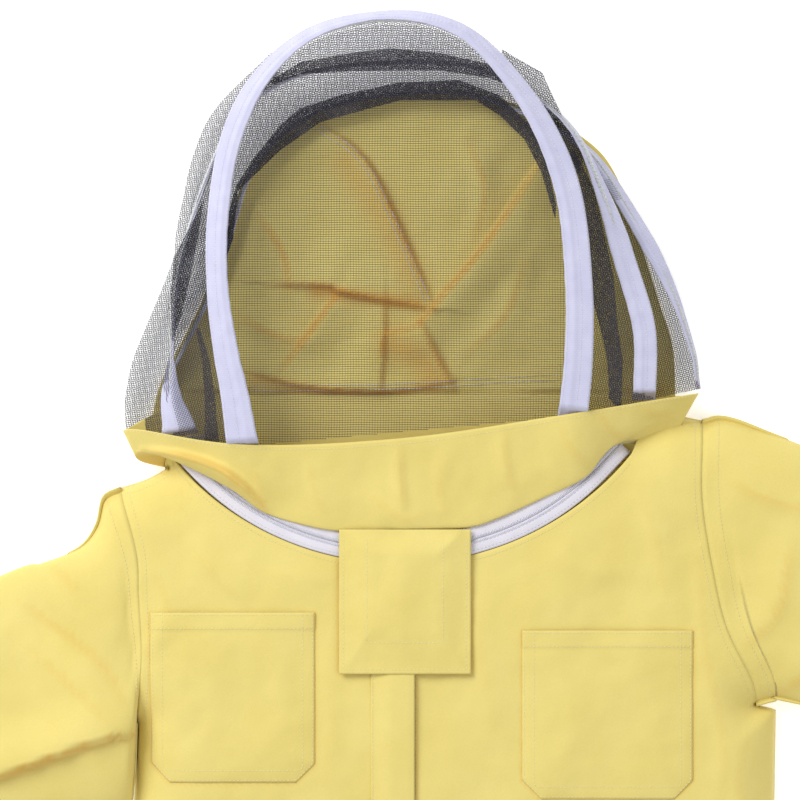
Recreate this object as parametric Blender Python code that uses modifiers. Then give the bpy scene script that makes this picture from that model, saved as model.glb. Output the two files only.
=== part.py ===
"""Beekeeping jacket with a zip-on fencing veil hood, lying on its back.

Metres, +Z up.  +Y runs from the hem to the hood and +X to the wearer's left.
The jacket's own frame has the front zip on X = 0; an empty then moves the whole
jacket so that the middle of its box stands on the origin.
"""

import math

import bmesh
import bpy
from mathutils import Vector

# ---------------------------------------------------------------- driving sizes

BOX_SHIFT_X = -0.03525       # from the front zip to the middle of the box
HEM_Y = -0.490               # lower edge of the hem band
HEM_BAND_WIDTH = 0.038
CLOTH = 0.0012               # cloth, with its lining
GAP = 0.0005                 # between pieces that are sewn together
ELASTIC_INSET = 0.0036       # from the outside of a casing to the elastic inside it
FRONT_Z = 0.030              # outer face of the front panels
EDGE_ROUNDING = 0.050        # width over which a front panel turns down to its seam

NECK_CENTRE = Vector((-0.004, 0.290))
NECK_HALF_ANGLE = math.radians(51)
NECK_PANEL_RADIUS = 0.2340   # cut edge of the front panels
BACK_NECK_Y = 0.1365         # straight neckline of the back panel
ZIP_TAPE_WIDTH = 0.0068
ZIP_COIL_WIDTH = 0.0026
ZIP_COIL_HEIGHT = 0.0018
NECK_ZIP_GAP = 0.0009        # between the rings of the neck zip
TAPE_THICKNESS = 0.0008

CENTRE_GAP = 0.006           # from the middle of the front zip to a panel's edge
FRONT_TAPE_WIDTH = 0.015

CUFF_LENGTH = 0.050
CUFF_HALF_WIDTH = 0.050
SLEEVE_LENGTH = 0.510
CUFF_HALF_HEIGHT = 0.013
SLEEVE_MIDDLE_HALF_HEIGHT = 0.021
THUMB_LOOP_REACH = 0.032
THUMB_LOOP_RADIUS = 0.0015
THUMB_LOOP_HALF_GAP = 0.009
TUBE_POINTS = 33             # across a sleeve, from seam to seam
TUBE_HALF_STEPS = 12         # round half of a sleeve

FLAP_Z = 0.0420              # underside of the neck flap
FLAP_HALF_WIDTH = 0.052
FLAP_TOP_Y = 0.0815
FLAP_BOTTOM_Y = -0.0300
HOOK_TAPE_WIDTH = 0.020
HOOK_TAPE_THICKNESS = 0.0010
HOOK_TAPE_MARGIN = 0.003     # from the flap's edge
HOOK_TAPE_TOP_Y = 0.046
LEFT_LOOP_TAPE_X = 0.0105    # clear of the front zip's slider
RIGHT_LOOP_TAPE_X = 0.0290   # clear of the placket

PLACKET_SEAM_X = -0.0260
PLACKET_EDGE_X = 0.0090
PLACKET_Z = 0.0388           # underside of the placket's flat part
PLACKET_TOP_Y = -0.0320

POCKET_DEPTH = 0.0060        # clear height inside a pocket
POCKET_CORNER = 0.015        # clipped off the two lower corners
POCKET_EDGE = 0.004          # width of the turned-down edge

HOOD_AXIS_POINT = Vector((0.0, 0.158, 0.048))
HOOD_AXIS_SLOPE = 0.080      # the base of the hood rises this much to the left
HOOP_RADIUS = 0.0016
HOOP_TAPE_WIDTH = 0.021
FRONT_HOOP_Z = 0.050
MIDDLE_HOOP_Z = 0.032
REAR_HOOP_Z = 0.012
MESH_THICKNESS = 0.0008

SLIDER_WIDTH = 0.009
SLIDER_LENGTH = 0.013
SLIDER_HEIGHT = 0.0046
PULL_WIDTH = 0.005
PULL_LENGTH = 0.017
PULL_THICKNESS = 0.0013
NECK_SLIDER_ANGLE = math.radians(2.6)
FRONT_SLIDER_Y = 0.038

# Side seams and armholes, from the hem up to the tip of the shoulder.
LEFT_SIDE = ((0.276, -0.450), (0.288, -0.280), (0.2925, -0.079))
LEFT_ARMHOLE = ((0.2745, -0.070), (0.271, -0.028), (0.257, -0.003), (0.2435, 0.030),
                (0.2330, 0.083), (0.2305, 0.110), (0.2340, 0.168))
LEFT_SHOULDER = ((0.183, 0.1640), (0.208, 0.1720), (0.2340, 0.1680))
RIGHT_SIDE = ((-0.246, -0.450), (-0.222, -0.280), (-0.2110, -0.079))
RIGHT_ARMHOLE = ((-0.2110, -0.070), (-0.2060, -0.020), (-0.2080, 0.030), (-0.2100, 0.066),
                 (-0.2240, 0.115))
RIGHT_SHOULDER = ((-0.186, 0.1310), (-0.204, 0.1215), (-0.2240, 0.1150))

# Sleeves: upper and lower edges near the body, then a straight run to the cuff.
LEFT_SLEEVE_MIDDLE = Vector((0.250, 0.055))
LEFT_SLEEVE_ANGLE = math.radians(-13)
LEFT_SLEEVE_TOP = ((0.2355, 0.1680), (0.2550, 0.1700), (0.3080, 0.1500), (0.500, 0.078))
LEFT_SLEEVE_BOTTOM = ((0.2775, -0.0680), (0.3080, -0.0600), (0.500, -0.094))
RIGHT_SLEEVE_MIDDLE = Vector((-0.215, 0.020))
RIGHT_SLEEVE_ANGLE = math.radians(180 + 24)
RIGHT_SLEEVE_TOP = ((-0.2255, 0.1140), (-0.2440, 0.0850), (-0.2810, 0.0590), (-0.480, -0.030))
RIGHT_SLEEVE_BOTTOM = ((-0.2130, -0.0740), (-0.3160, -0.1400), (-0.480, -0.194))

# Hoops, from the right-hand leg over the crown to the left-hand leg.
FRONT_HOOP = ((-0.1315, 0.1560), (-0.1350, 0.1960), (-0.1450, 0.2640), (-0.1455, 0.3240),
              (-0.1350, 0.3850), (-0.1105, 0.4330), (-0.0675, 0.4680), (-0.0080, 0.4795),
              (0.0410, 0.4690), (0.0800, 0.4350), (0.1100, 0.3900), (0.1280, 0.3390),
              (0.1350, 0.2700), (0.1345, 0.2150), (0.1310, 0.1790))
MIDDLE_HOOP = ((-0.1770, 0.1640), (-0.1830, 0.2000), (-0.1750, 0.2930), (-0.1430, 0.3870),
               (-0.1110, 0.4240), (-0.0660, 0.4420), (0.0, 0.4480), (0.0510, 0.4450),
               (0.0975, 0.4240), (0.1325, 0.3930), (0.1560, 0.3410), (0.1715, 0.2930),
               (0.1865, 0.2400), (0.1870, 0.1920))
REAR_HOOP = ((-0.1880, 0.1960), (-0.1790, 0.2150), (-0.1620, 0.2480), (-0.1450, 0.2850),
             (-0.1335, 0.3250), (-0.1210, 0.3630), (-0.0970, 0.3920), (-0.0585, 0.4150),
             (0.0, 0.4250), (0.0505, 0.4240), (0.1055, 0.4040), (0.1445, 0.3790),
             (0.1740, 0.3360), (0.2080, 0.2740), (0.2260, 0.2240), (0.2300, 0.2010))
BAND_TOP = ((-0.2210, 0.1600), (-0.1210, 0.1490), (0.0, 0.1545), (0.1210, 0.1720), (0.2300, 0.1890))
BAND_TOP_Z = 0.044
BAND_REAR_TOP_Y = 0.188
REAR_RISE = 0.012            # the back of the neckline stands this much higher
RING_LOW_Z = 0.0006          # back of the neck rings and the band
RING_POINTS = 44             # round the neck

# colour, roughness, metallic
YELLOW = ((0.84, 0.76, 0.24), 0.85, 0.0)
WHITE_TAPE = ((0.84, 0.83, 0.92), 0.75, 0.0)
WHITE_NYLON = ((0.88, 0.88, 0.93), 0.45, 0.0)
BLACK_MESH = ((0.03, 0.03, 0.035), 0.6, 0.0)
CLEAR_BONING = ((0.75, 0.76, 0.76), 0.35, 0.0)
ELASTIC = ((0.82, 0.81, 0.78), 0.9, 0.0)
HOOK_TAPE = ((0.80, 0.72, 0.30), 0.95, 0.0)
NICKEL = ((0.70, 0.70, 0.71), 0.3, 1.0)


# ---------------------------------------------------------------- scene and helpers

def clear_scene():
    for item in list(bpy.data.objects):
        bpy.data.objects.remove(item, do_unlink=True)


def new_collection(name):
    collection = bpy.data.collections.new(name)
    bpy.context.scene.collection.children.link(collection)
    return collection


def finish_piece(item, look):
    """Give a piece its own material, its collection and its place under the origin empty."""
    colour, roughness, metallic = look
    material = bpy.data.materials.new(item.name)
    material.use_nodes = True
    shader = material.node_tree.nodes["Principled BSDF"]
    shader.inputs["Base Color"].default_value = (*colour, 1.0)
    shader.inputs["Roughness"].default_value = roughness
    shader.inputs["Metallic"].default_value = metallic
    item.data.materials.append(material)
    parts.objects.link(item)
    item.parent = jacket_origin
    return item


def smooth_path(points, count):
    """Points evenly spaced along a Catmull-Rom curve through the given ones."""
    knots = [Vector(point) for point in points]
    knots = [2 * knots[0] - knots[1]] + knots + [2 * knots[-1] - knots[-2]]
    dense = []
    per_span = 16
    for a, b, c, d in zip(knots, knots[1:], knots[2:], knots[3:]):
        for step in range(per_span):
            t = step / per_span
            dense.append(0.5 * (2 * b + (c - a) * t + (2 * a - 5 * b + 4 * c - d) * t ** 2
                                + (3 * b - a - 3 * c + d) * t ** 3))
    dense.append(knots[-2])
    return even_path(dense, count)


def even_path(points, count):
    """Resample a polyline to a number of evenly spaced points."""
    points = [Vector(point) for point in points]
    reach = [0.0]
    for a, b in zip(points, points[1:]):
        reach.append(reach[-1] + (b - a).length)
    result = []
    span = 0
    for index in range(count):
        target = reach[-1] * index / (count - 1)
        while span < len(points) - 2 and reach[span + 1] < target:
            span += 1
        share = (target - reach[span]) / (reach[span + 1] - reach[span])
        result.append(points[span].lerp(points[span + 1], share))
    return result


def point_along(points, share):
    """The point at a share of the way along evenly spaced points."""
    place = share * (len(points) - 1)
    index = min(int(place), len(points) - 2)
    return points[index].lerp(points[index + 1], place - index)


def coons(bottom, top, first, last):
    """Rows of plan points that fill the space between four edges which share their corners."""
    rows = []
    columns = len(bottom) - 1
    for row, (a, b) in enumerate(zip(first, last)):
        v = row / (len(first) - 1)
        line = []
        for column in range(columns + 1):
            u = column / columns
            corners = ((1 - u) * (1 - v) * bottom[0] + u * (1 - v) * bottom[-1]
                       + (1 - u) * v * top[0] + u * v * top[-1])
            line.append((1 - v) * bottom[column] + v * top[column] + (1 - u) * a + u * b - corners)
        rows.append(line)
    return rows


def shell(name, rows, thickness, look, closed=False, flip=False):
    """An open surface through rows of points, thickened inwards."""
    mesh = bpy.data.meshes.new(name)
    work = bmesh.new()
    grid = [[work.verts.new(point) for point in row] for row in rows]
    for lower, upper in zip(grid, grid[1:]):
        count = len(lower)
        for index in range(count if closed else count - 1):
            follow = (index + 1) % count
            corners = (lower[index], lower[follow], upper[follow], upper[index])
            work.faces.new(corners[::-1] if flip else corners)
    work.to_mesh(mesh)
    work.free()
    mesh.shade_smooth()
    item = bpy.data.objects.new(name, mesh)
    solidify = item.modifiers.new("Thickness", "SOLIDIFY")
    solidify.thickness = thickness
    solidify.offset = -1.0
    return finish_piece(item, look)


def plate(name, outlines, low, thickness, look):
    """A flat plate: the first outline, with any further outlines cut out of it."""
    curve = bpy.data.curves.new(name, "CURVE")
    curve.dimensions = "2D"
    curve.fill_mode = "BOTH"
    curve.extrude = thickness / 2
    for outline in outlines:
        spline = curve.splines.new("POLY")
        spline.points.add(len(outline) - 1)
        for point, place in zip(spline.points, outline):
            point.co = (place[0], place[1], 0.0, 1.0)
        spline.use_cyclic_u = True
    item = bpy.data.objects.new(name, curve)
    item.location = (0.0, 0.0, low + thickness / 2)
    return finish_piece(item, look)


def rod(name, points, radius, look):
    """A round wire with flat ends."""
    curve = bpy.data.curves.new(name, "CURVE")
    curve.dimensions = "3D"
    curve.bevel_depth = radius
    curve.bevel_resolution = 2
    curve.use_fill_caps = True
    spline = curve.splines.new("POLY")
    spline.points.add(len(points) - 1)
    for point, place in zip(spline.points, points):
        point.co = (*place, 1.0)
    return finish_piece(bpy.data.objects.new(name, curve), look)


def block(name, low, high, look, bevel=0.0):
    """A box between two corners, with rounded edges."""
    bpy.ops.mesh.primitive_cube_add(size=1.0)
    item = bpy.context.object
    item.name = name
    item.data.name = name
    item.users_collection[0].objects.unlink(item)
    middle = (Vector(low) + Vector(high)) / 2
    size = Vector(high) - Vector(low)
    for vertex in item.data.vertices:
        vertex.co = Vector([vertex.co[axis] * size[axis] for axis in range(3)])
    item.location = middle
    if bevel:
        rounding = item.modifiers.new("Rounding", "BEVEL")
        rounding.width = bevel
        rounding.segments = 2
    return finish_piece(item, look)


def sides(path, width):
    """The two edges of a flat ribbon that runs along a plan path."""
    left, right = [], []
    for index, point in enumerate(path):
        before = path[max(index - 1, 0)]
        after = path[min(index + 1, len(path) - 1)]
        along = (after - before).normalized()
        across = Vector((-along.y, along.x)) * width / 2
        left.append(point + across)
        right.append(point - across)
    return left, right


def at_height(points, height):
    return [Vector((point.x, point.y, height)) for point in points]


# ---------------------------------------------------------------- body panels

def seam_distance(point, seams):
    """Plan distance from a point to the nearest closed seam."""
    nearest = math.inf
    for seam in seams:
        for start, end in zip(seam, seam[1:]):
            along = end - start
            share = max(0.0, min(1.0, (point - start).dot(along) / along.length_squared))
            nearest = min(nearest, (point - start - along * share).length)
    return nearest


def front_height(point, seams):
    """Outer face of a front panel: level, and turned down to the back panel at its seams."""
    lowest = 2 * CLOTH + GAP
    near = min(seam_distance(point, seams) / EDGE_ROUNDING, 1.0)
    return lowest + (FRONT_Z - lowest) * math.sqrt(1 - (1 - near) ** 2)


def neck_point(radius, angle):
    """A point on a circle round the neck's centre; angle 0 is straight down to the zip."""
    return NECK_CENTRE + radius * Vector((math.sin(angle), -math.cos(angle)))


def neck_edge(side, count=12):
    """Cut edge of a front panel along the neck zip, from the front zip outwards."""
    first = math.asin((CENTRE_GAP * side - NECK_CENTRE.x) / NECK_PANEL_RADIUS)
    last = side * NECK_HALF_ANGLE
    return [neck_point(NECK_PANEL_RADIUS, first + (last - first) * index / (count - 1))
            for index in range(count)]


def armhole_path(armhole):
    """The armhole seam, which a panel and its sleeve share."""
    return smooth_path(armhole, 12)


def front_panel(name, side, side_seam, armhole, shoulder):
    columns = 14
    neck = neck_edge(side)
    centre_top = neck[0]
    seam_bottom = HEM_Y + HEM_BAND_WIDTH + GAP
    shoulder_path = smooth_path(shoulder, 5)
    top = even_path(neck + shoulder_path[1:], columns)
    outer = smooth_path(side_seam, 8) + armhole_path(armhole)
    outer[0].y = seam_bottom
    outer[-1] = top[-1]
    inner = even_path([Vector((CENTRE_GAP * side, seam_bottom)), centre_top], len(outer))
    bottom = even_path([inner[0], outer[0]], columns)
    seams = (smooth_path(side_seam, 9) + [Vector(armhole[0])], shoulder_path)
    grid = [[Vector((*point, front_height(point, seams))) for point in row]
            for row in coons(bottom, top, inner, outer)]
    return shell(name, grid, CLOTH, YELLOW, flip=side < 0)


def back_panel():
    neck_left = neck_point(NECK_PANEL_RADIUS, NECK_HALF_ANGLE).x
    neck_right = neck_point(NECK_PANEL_RADIUS, -NECK_HALF_ANGLE).x
    neckline = even_path([(neck_left, BACK_NECK_Y), (neck_right, BACK_NECK_Y)], 9)
    left = smooth_path(LEFT_SIDE, 8) + armhole_path(LEFT_ARMHOLE)
    right = smooth_path(RIGHT_SIDE, 8) + armhole_path(RIGHT_ARMHOLE)
    outline = (left + smooth_path(LEFT_SHOULDER, 4)[2::-1] + neckline
               + smooth_path(RIGHT_SHOULDER, 4)[:3] + right[::-1])
    for point in (outline[0], outline[-1]):
        point.y = HEM_Y + HEM_BAND_WIDTH + GAP
    return plate("back_panel", [outline], 0.0, CLOTH, YELLOW)


def pocket(name, low, high):
    """A patch pocket: flat front, edges turned down on three sides, open at the top."""
    width, depth = high[0] - low[0], high[1] - low[1]
    base = FRONT_Z + GAP
    rows = []
    for y in (0.0, POCKET_EDGE, POCKET_CORNER, depth / 2, depth):
        inset = max(0.0, POCKET_CORNER - y)
        line = []
        for x in (inset, inset + POCKET_EDGE, width / 2, width - inset - POCKET_EDGE, width - inset):
            rim = y == 0.0 or x in (inset, width - inset)
            height = base + CLOTH if rim else base + CLOTH + POCKET_DEPTH
            line.append(Vector((low[0] + x, low[1] + y, height)))
        rows.append(line)
    shell(name, rows, CLOTH, YELLOW)


def placket():
    profile = ((PLACKET_SEAM_X, FRONT_Z + CLOTH + GAP), (PLACKET_SEAM_X + 0.005, PLACKET_Z + CLOTH),
               (PLACKET_SEAM_X + 0.012, PLACKET_Z + CLOTH), (PLACKET_EDGE_X, PLACKET_Z + CLOTH))
    ends = (HEM_Y + HEM_BAND_WIDTH + 0.001, PLACKET_TOP_Y)
    rows = [[Vector((x, y, z)) for x, z in profile] for y in ends]
    return shell("placket", rows, CLOTH, YELLOW)


def oval_heights(count, half_height, power=4):
    """Heights round half of a flattened tube, from its seam over the top to its other seam."""
    heights = []
    for index in range(count + 1):
        across = math.cos(math.pi * index / count)
        heights.append((across, half_height * (1 - abs(across) ** power) ** 0.5))
    return heights


def hem_ring(inset, opening):
    """Open ring round the hem, from the left of the front zip round the back to its right."""
    half = FRONT_Z / 2
    left, right = LEFT_SIDE[0][0], RIGHT_SIDE[0][0]
    middle, reach = (left + right) / 2, (left - right) / 2 - inset
    count = 20
    ring = []
    upper = oval_heights(count, half - inset)
    for across, height in upper:
        ring.append((middle + reach * across, half + height))
    clear = opening + 0.004
    front_left = [(x, z) for x, z in ring if x > clear]
    front_right = [(x, z) for x, z in ring if x < -clear]
    back = [(middle - reach * across, half - height) for across, height in upper[1:-1]]
    edge_height = 2 * half - inset
    return ([(opening, edge_height)] + front_left[::-1] + back[::-1] + front_right[::-1]
            + [(-opening, edge_height)])


def hem_strip(name, inset, opening, width, thickness, look):
    middle = HEM_Y + HEM_BAND_WIDTH / 2
    ends = (middle - width / 2, middle + width / 2)
    rows = [[Vector((x, y, z)) for x, z in hem_ring(inset, opening)] for y in ends]
    shell(name, rows, thickness, look)


# ---------------------------------------------------------------- sleeves

def sleeve_end(middle, angle, distance, half_width, side):
    """Upper and lower corner of a sleeve's cross line at a distance along it."""
    along = Vector((math.cos(angle), math.sin(angle)))
    across = Vector((-along.y, along.x)) * side
    centre = middle + along * distance
    return centre + across * half_width, centre - across * half_width


def tube(name, plan_rows, half_heights, thickness, look, side, power=4):
    """A flattened tube: each plan row is a cross line, lifted to an oval that rests at Z = 0."""
    rows = []
    for line, half in zip(plan_rows, half_heights):
        points = even_path(line, TUBE_POINTS)
        upper = oval_heights(TUBE_HALF_STEPS, half, power)
        ring = [(across, half + height) for across, height in upper]
        ring += [(across, half - height) for across, height in upper[-2:0:-1]]
        rows.append([Vector((*point_along(points, (1 - across) / 2), height))
                     for across, height in ring])
    return shell(name, rows, thickness, look, closed=True, flip=side < 0)


def sleeve(name, side, armhole, upper_edge, lower_edge, middle, angle):
    stations = 9
    upper_end, lower_end = sleeve_end(middle, angle, SLEEVE_LENGTH, CUFF_HALF_WIDTH, side)
    shift = Vector((0.0015 * side, 0.0))
    start = [point + shift for point in armhole_path(armhole)[::-1]]
    upper = smooth_path([start[0]] + [Vector(point) for point in upper_edge[1:]] + [upper_end], stations)
    lower = smooth_path([start[-1]] + [Vector(point) for point in lower_edge[1:]] + [lower_end], stations)
    end = even_path([upper_end, lower_end], len(start))
    lines = coons(start, end, upper, lower)
    heights = []
    for index in range(stations):
        share = index / (stations - 1)
        swell = math.sin(math.pi * share) ** 0.5 if 0 < share < 1 else 0.0
        flat = (FRONT_Z / 2) * (1 - share) + CUFF_HALF_HEIGHT * share
        heights.append(flat + (SLEEVE_MIDDLE_HALF_HEIGHT - FRONT_Z / 2) * swell)
    return tube(name, lines, heights, CLOTH, YELLOW, side, power=3)


def cuff_ring(name, side, middle, angle, start, length, inset, thickness, look):
    lines = []
    for distance in (start, start + length / 2, start + length):
        half_width = CUFF_HALF_WIDTH - inset
        lines.append(list(sleeve_end(middle, angle, distance, half_width, side)))
    heights = [CUFF_HALF_HEIGHT - inset] * 3
    item = tube(name, lines, heights, thickness, look, side, power=3)
    for vertex in item.data.vertices:
        vertex.co.z += inset
    return item


def thumb_loop(name, side, middle, angle):
    along = Vector((math.cos(angle), math.sin(angle)))
    across = Vector((-along.y, along.x)) * side
    root = middle + along * (SLEEVE_LENGTH + CUFF_LENGTH + 0.0025)
    straight = THUMB_LOOP_REACH - THUMB_LOOP_HALF_GAP - 0.0025
    points = [root + across * THUMB_LOOP_HALF_GAP]
    steps = 10
    for step in range(steps + 1):
        turn = math.pi * step / steps
        points.append(root + along * (straight + THUMB_LOOP_HALF_GAP * math.sin(turn))
                      + across * THUMB_LOOP_HALF_GAP * math.cos(turn))
    points.append(root - across * THUMB_LOOP_HALF_GAP)
    rod(name, at_height(points, THUMB_LOOP_RADIUS + 0.0003), THUMB_LOOP_RADIUS, ELASTIC)


def make_sleeve_group(word, side, armhole, upper_edge, lower_edge, middle, angle):
    sleeve("sleeve_" + word, side, armhole, upper_edge, lower_edge, middle, angle)
    cuff_ring("cuff_" + word, side, middle, angle, SLEEVE_LENGTH + GAP, CUFF_LENGTH, 0.0,
              CLOTH, YELLOW)
    cuff_ring("cuff_elastic_" + word, side, middle, angle, SLEEVE_LENGTH + 0.018, 0.025,
              ELASTIC_INSET, 0.001, ELASTIC)
    thumb_loop("thumb_loop_" + word, side, middle, angle)


# ---------------------------------------------------------------- front zip

def front_zip():
    bottom = HEM_Y + 0.004
    top = NECK_CENTRE.y - NECK_PANEL_RADIUS - 0.0005
    tape_low = FRONT_Z - CLOTH - GAP - TAPE_THICKNESS
    coil_low = tape_low + TAPE_THICKNESS + 0.0003
    middle_gap = 0.0003
    for word, side in (("left", 1), ("right", -1)):
        near, far = middle_gap * side, FRONT_TAPE_WIDTH * side
        tape = [(near, bottom), (far, bottom), (far, top), (near, top)]
        plate("front_zip_tape_" + word, [tape], tape_low, TAPE_THICKNESS, WHITE_TAPE)
        coil_far = (middle_gap + ZIP_COIL_WIDTH) * side
        low = (min(near, coil_far), bottom + 0.012, coil_low)
        high = (max(near, coil_far), top - 0.006, coil_low + ZIP_COIL_HEIGHT)
        block("front_zip_coil_" + word, low, high, WHITE_NYLON)
        low = (low[0], top - 0.0055, coil_low)
        high = (high[0], top - 0.001, coil_low + ZIP_COIL_HEIGHT)
        block("front_zip_top_stop_" + word, low, high, WHITE_NYLON, bevel=0.0003)
    box_top = bottom + 0.0115
    box_low = coil_low + 0.0001
    block("front_zip_box", (middle_gap, bottom + 0.001, box_low),
          (0.0048, box_top, box_low + 0.0022), WHITE_NYLON, bevel=0.0004)
    block("front_zip_pin", (-0.0026, bottom + 0.001, box_low),
          (-middle_gap, box_top, box_low + 0.0018), WHITE_NYLON, bevel=0.0004)


def slider_outline(width, length):
    """A zip slider from above: shoulders at the open end, a narrower tail."""
    half, tail = width / 2, width * 0.36
    return [(-tail, -length / 2), (tail, -length / 2), (half, length * 0.05),
            (half, length * 0.36), (half * 0.55, length / 2), (-half * 0.55, length / 2),
            (-half, length * 0.36), (-half, length * 0.05)]


def pull_outlines(width, length):
    """A zip pull with its eye, hanging from the origin towards -Y."""
    half = width / 2
    outer = [(-half * 0.6, 0.0015), (half * 0.6, 0.0015), (half, -0.001), (half, -length + 0.002),
             (half * 0.5, -length), (-half * 0.5, -length), (-half, -length + 0.002), (-half, -0.001)]
    eye = [(-0.0012, -0.0012), (-0.0012, -0.0036), (0.0012, -0.0036), (0.0012, -0.0012)]
    return [outer, eye]


def zip_slider(name, pull_name, place, turn, low):
    """A slider and its pull; the pull's origin is on the pin that it swings on."""
    body = plate(name, [slider_outline(SLIDER_WIDTH, SLIDER_LENGTH)], 0.0, SLIDER_HEIGHT, NICKEL)
    body.location = (*place, low + SLIDER_HEIGHT / 2)
    body.rotation_euler = (0.0, 0.0, turn)
    pull = plate(pull_name, pull_outlines(PULL_WIDTH, PULL_LENGTH), 0.0, PULL_THICKNESS, NICKEL)
    pull.location = (*place, low + SLIDER_HEIGHT + 0.0003 + PULL_THICKNESS / 2)
    pull.rotation_euler = (0.0, 0.0, turn)
    return body, pull


# ---------------------------------------------------------------- neck zip and hood band

def ring_stations(low, top, count=RING_POINTS):
    """Station across, height and share of the front, for each point of a ring round the neck."""
    for index in range(count):
        turn = 2 * math.pi * index / count
        across = math.cos(turn)
        rise = math.copysign((1 - abs(across) ** 8) ** 0.5, math.sin(turn))
        yield across, low + (top - low) * (1 + rise) / 2, (1 + rise) / 2


def neck_ring(radius, top):
    """Closed ring round the neck: a level front arc, a low back, and folds at both shoulders."""
    end_y = neck_point(radius, NECK_HALF_ANGLE).y
    ring = []
    for across, height, front_share in ring_stations(RING_LOW_Z, top):
        front = neck_point(radius, NECK_HALF_ANGLE * across)
        back = Vector((front.x, end_y + REAR_RISE * (1 - across ** 2)))
        ring.append(Vector((*back.lerp(front, front_share), height)))
    return ring


def band_top_ring():
    """Upper edge of the hood band: the front follows the veil's base, the back is straight."""
    path = smooth_path(BAND_TOP, 41)
    ring = []
    for across, height, front_share in ring_stations(RING_LOW_Z, BAND_TOP_Z):
        front = point_along(path, (across + 1) / 2)
        back = Vector((front.x, front.y + (BAND_REAR_TOP_Y - front.y) * (1 - across ** 8)))
        ring.append(Vector((*back.lerp(front, front_share), height)))
    return ring


def neck_zip():
    """Jacket tape, two coils and hood tape, each a closed ring inside the last one."""
    outer = NECK_PANEL_RADIUS - GAP
    top = FRONT_Z - 0.0004
    widths = (("neck_zip_tape_jacket", ZIP_TAPE_WIDTH, TAPE_THICKNESS, WHITE_TAPE, 0.0),
              ("neck_zip_coil_jacket", ZIP_COIL_WIDTH, ZIP_COIL_HEIGHT, WHITE_NYLON, 0.0008),
              ("neck_zip_coil_hood", ZIP_COIL_WIDTH, ZIP_COIL_HEIGHT, WHITE_NYLON, 0.0008),
              ("neck_zip_tape_hood", ZIP_TAPE_WIDTH, TAPE_THICKNESS, WHITE_TAPE, 0.0))
    for name, width, thickness, look, lift in widths:
        rings = [neck_ring(outer, top + lift), neck_ring(outer - width, top + lift)]
        shell(name, rings, thickness, look, closed=True, flip=True)
        outer -= width + NECK_ZIP_GAP
    return outer


def hood_band(outer):
    """The yoke between the neck zip and the veil."""
    low_ring = neck_ring(outer, FRONT_Z)
    top_ring = band_top_ring()
    steps = 3
    rows = [[a.lerp(b, step / steps) for a, b in zip(low_ring, top_ring)]
            for step in range(steps + 1)]
    return shell("hood_band", rows, CLOTH, YELLOW, closed=True, flip=True)


# ---------------------------------------------------------------- neck flap

def neck_flap():
    cut = 0.004
    outline = [(-FLAP_HALF_WIDTH, FLAP_TOP_Y), (-FLAP_HALF_WIDTH, FLAP_BOTTOM_Y + cut),
               (-FLAP_HALF_WIDTH + cut, FLAP_BOTTOM_Y), (FLAP_HALF_WIDTH - cut, FLAP_BOTTOM_Y),
               (FLAP_HALF_WIDTH, FLAP_BOTTOM_Y + cut), (FLAP_HALF_WIDTH, FLAP_TOP_Y)]
    plate("neck_flap", [outline], FLAP_Z, CLOTH, YELLOW)


def hook_and_loop():
    """Hook tape round three sides of the flap, and loop tape for it on each front panel."""
    half = FLAP_HALF_WIDTH - HOOK_TAPE_MARGIN
    low, high = FLAP_BOTTOM_Y + HOOK_TAPE_MARGIN, HOOK_TAPE_TOP_Y
    inner = half - HOOK_TAPE_WIDTH
    shelf = low + HOOK_TAPE_WIDTH
    outline = [(-half, low), (half, low), (half, high), (inner, high), (inner, shelf),
               (-inner, shelf), (-inner, high), (-half, high)]
    plate("flap_hook_tape", [outline], FLAP_Z - 0.0003 - HOOK_TAPE_THICKNESS,
          HOOK_TAPE_THICKNESS, HOOK_TAPE)
    left = [(LEFT_LOOP_TAPE_X, low), (half, low), (half, high), (inner, high), (inner, shelf),
            (LEFT_LOOP_TAPE_X, shelf)]
    right = [(-RIGHT_LOOP_TAPE_X, low), (-half, low), (-half, high), (-RIGHT_LOOP_TAPE_X, high)]
    for word, shape in (("left", left), ("right", right)):
        plate("flap_loop_tape_" + word, [shape], FRONT_Z + 0.0003, HOOK_TAPE_THICKNESS, HOOK_TAPE)


# ---------------------------------------------------------------- hood

def hoop(word, points, height):
    """Plastic boning and the tape casing over it."""
    path = smooth_path(points, 41)
    rod("hoop_" + word, at_height(path, height), HOOP_RADIUS, CLEAR_BONING)
    left, right = sides(path, HOOP_TAPE_WIDTH)
    low = height + HOOP_RADIUS + 0.0004
    rows = [at_height(left, low + TAPE_THICKNESS), at_height(right, low + TAPE_THICKNESS)]
    shell("hoop_tape_" + word, rows, TAPE_THICKNESS, WHITE_TAPE, flip=True)


def gusset(name, lower_points, lower_z, upper_points, upper_z):
    """Veil mesh that fans out between two hoops."""
    lower = at_height(smooth_path(lower_points, 33), lower_z)
    upper = at_height(smooth_path(upper_points, 33), upper_z)
    rows = [[a.lerp(b, share) for a, b in zip(lower, upper)] for share in (0.0, 0.5, 1.0)]
    shell(name, rows, MESH_THICKNESS, BLACK_MESH)


def face_mesh():
    """The veil's front panel, inside the front hoop and down to the hood band."""
    path = smooth_path(FRONT_HOOP, 35)
    clearance = HOOP_RADIUS + 0.0006
    _, inner = sides(path, 2 * clearance)
    base = [Vector((point.x, HOOD_AXIS_POINT.y + HOOD_AXIS_SLOPE * point.x + 0.001))
            for point in even_path([inner[-1], inner[0]], 13)]
    plate("face_mesh", [inner + base], FRONT_HOOP_Z - MESH_THICKNESS / 2, MESH_THICKNESS, BLACK_MESH)


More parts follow.
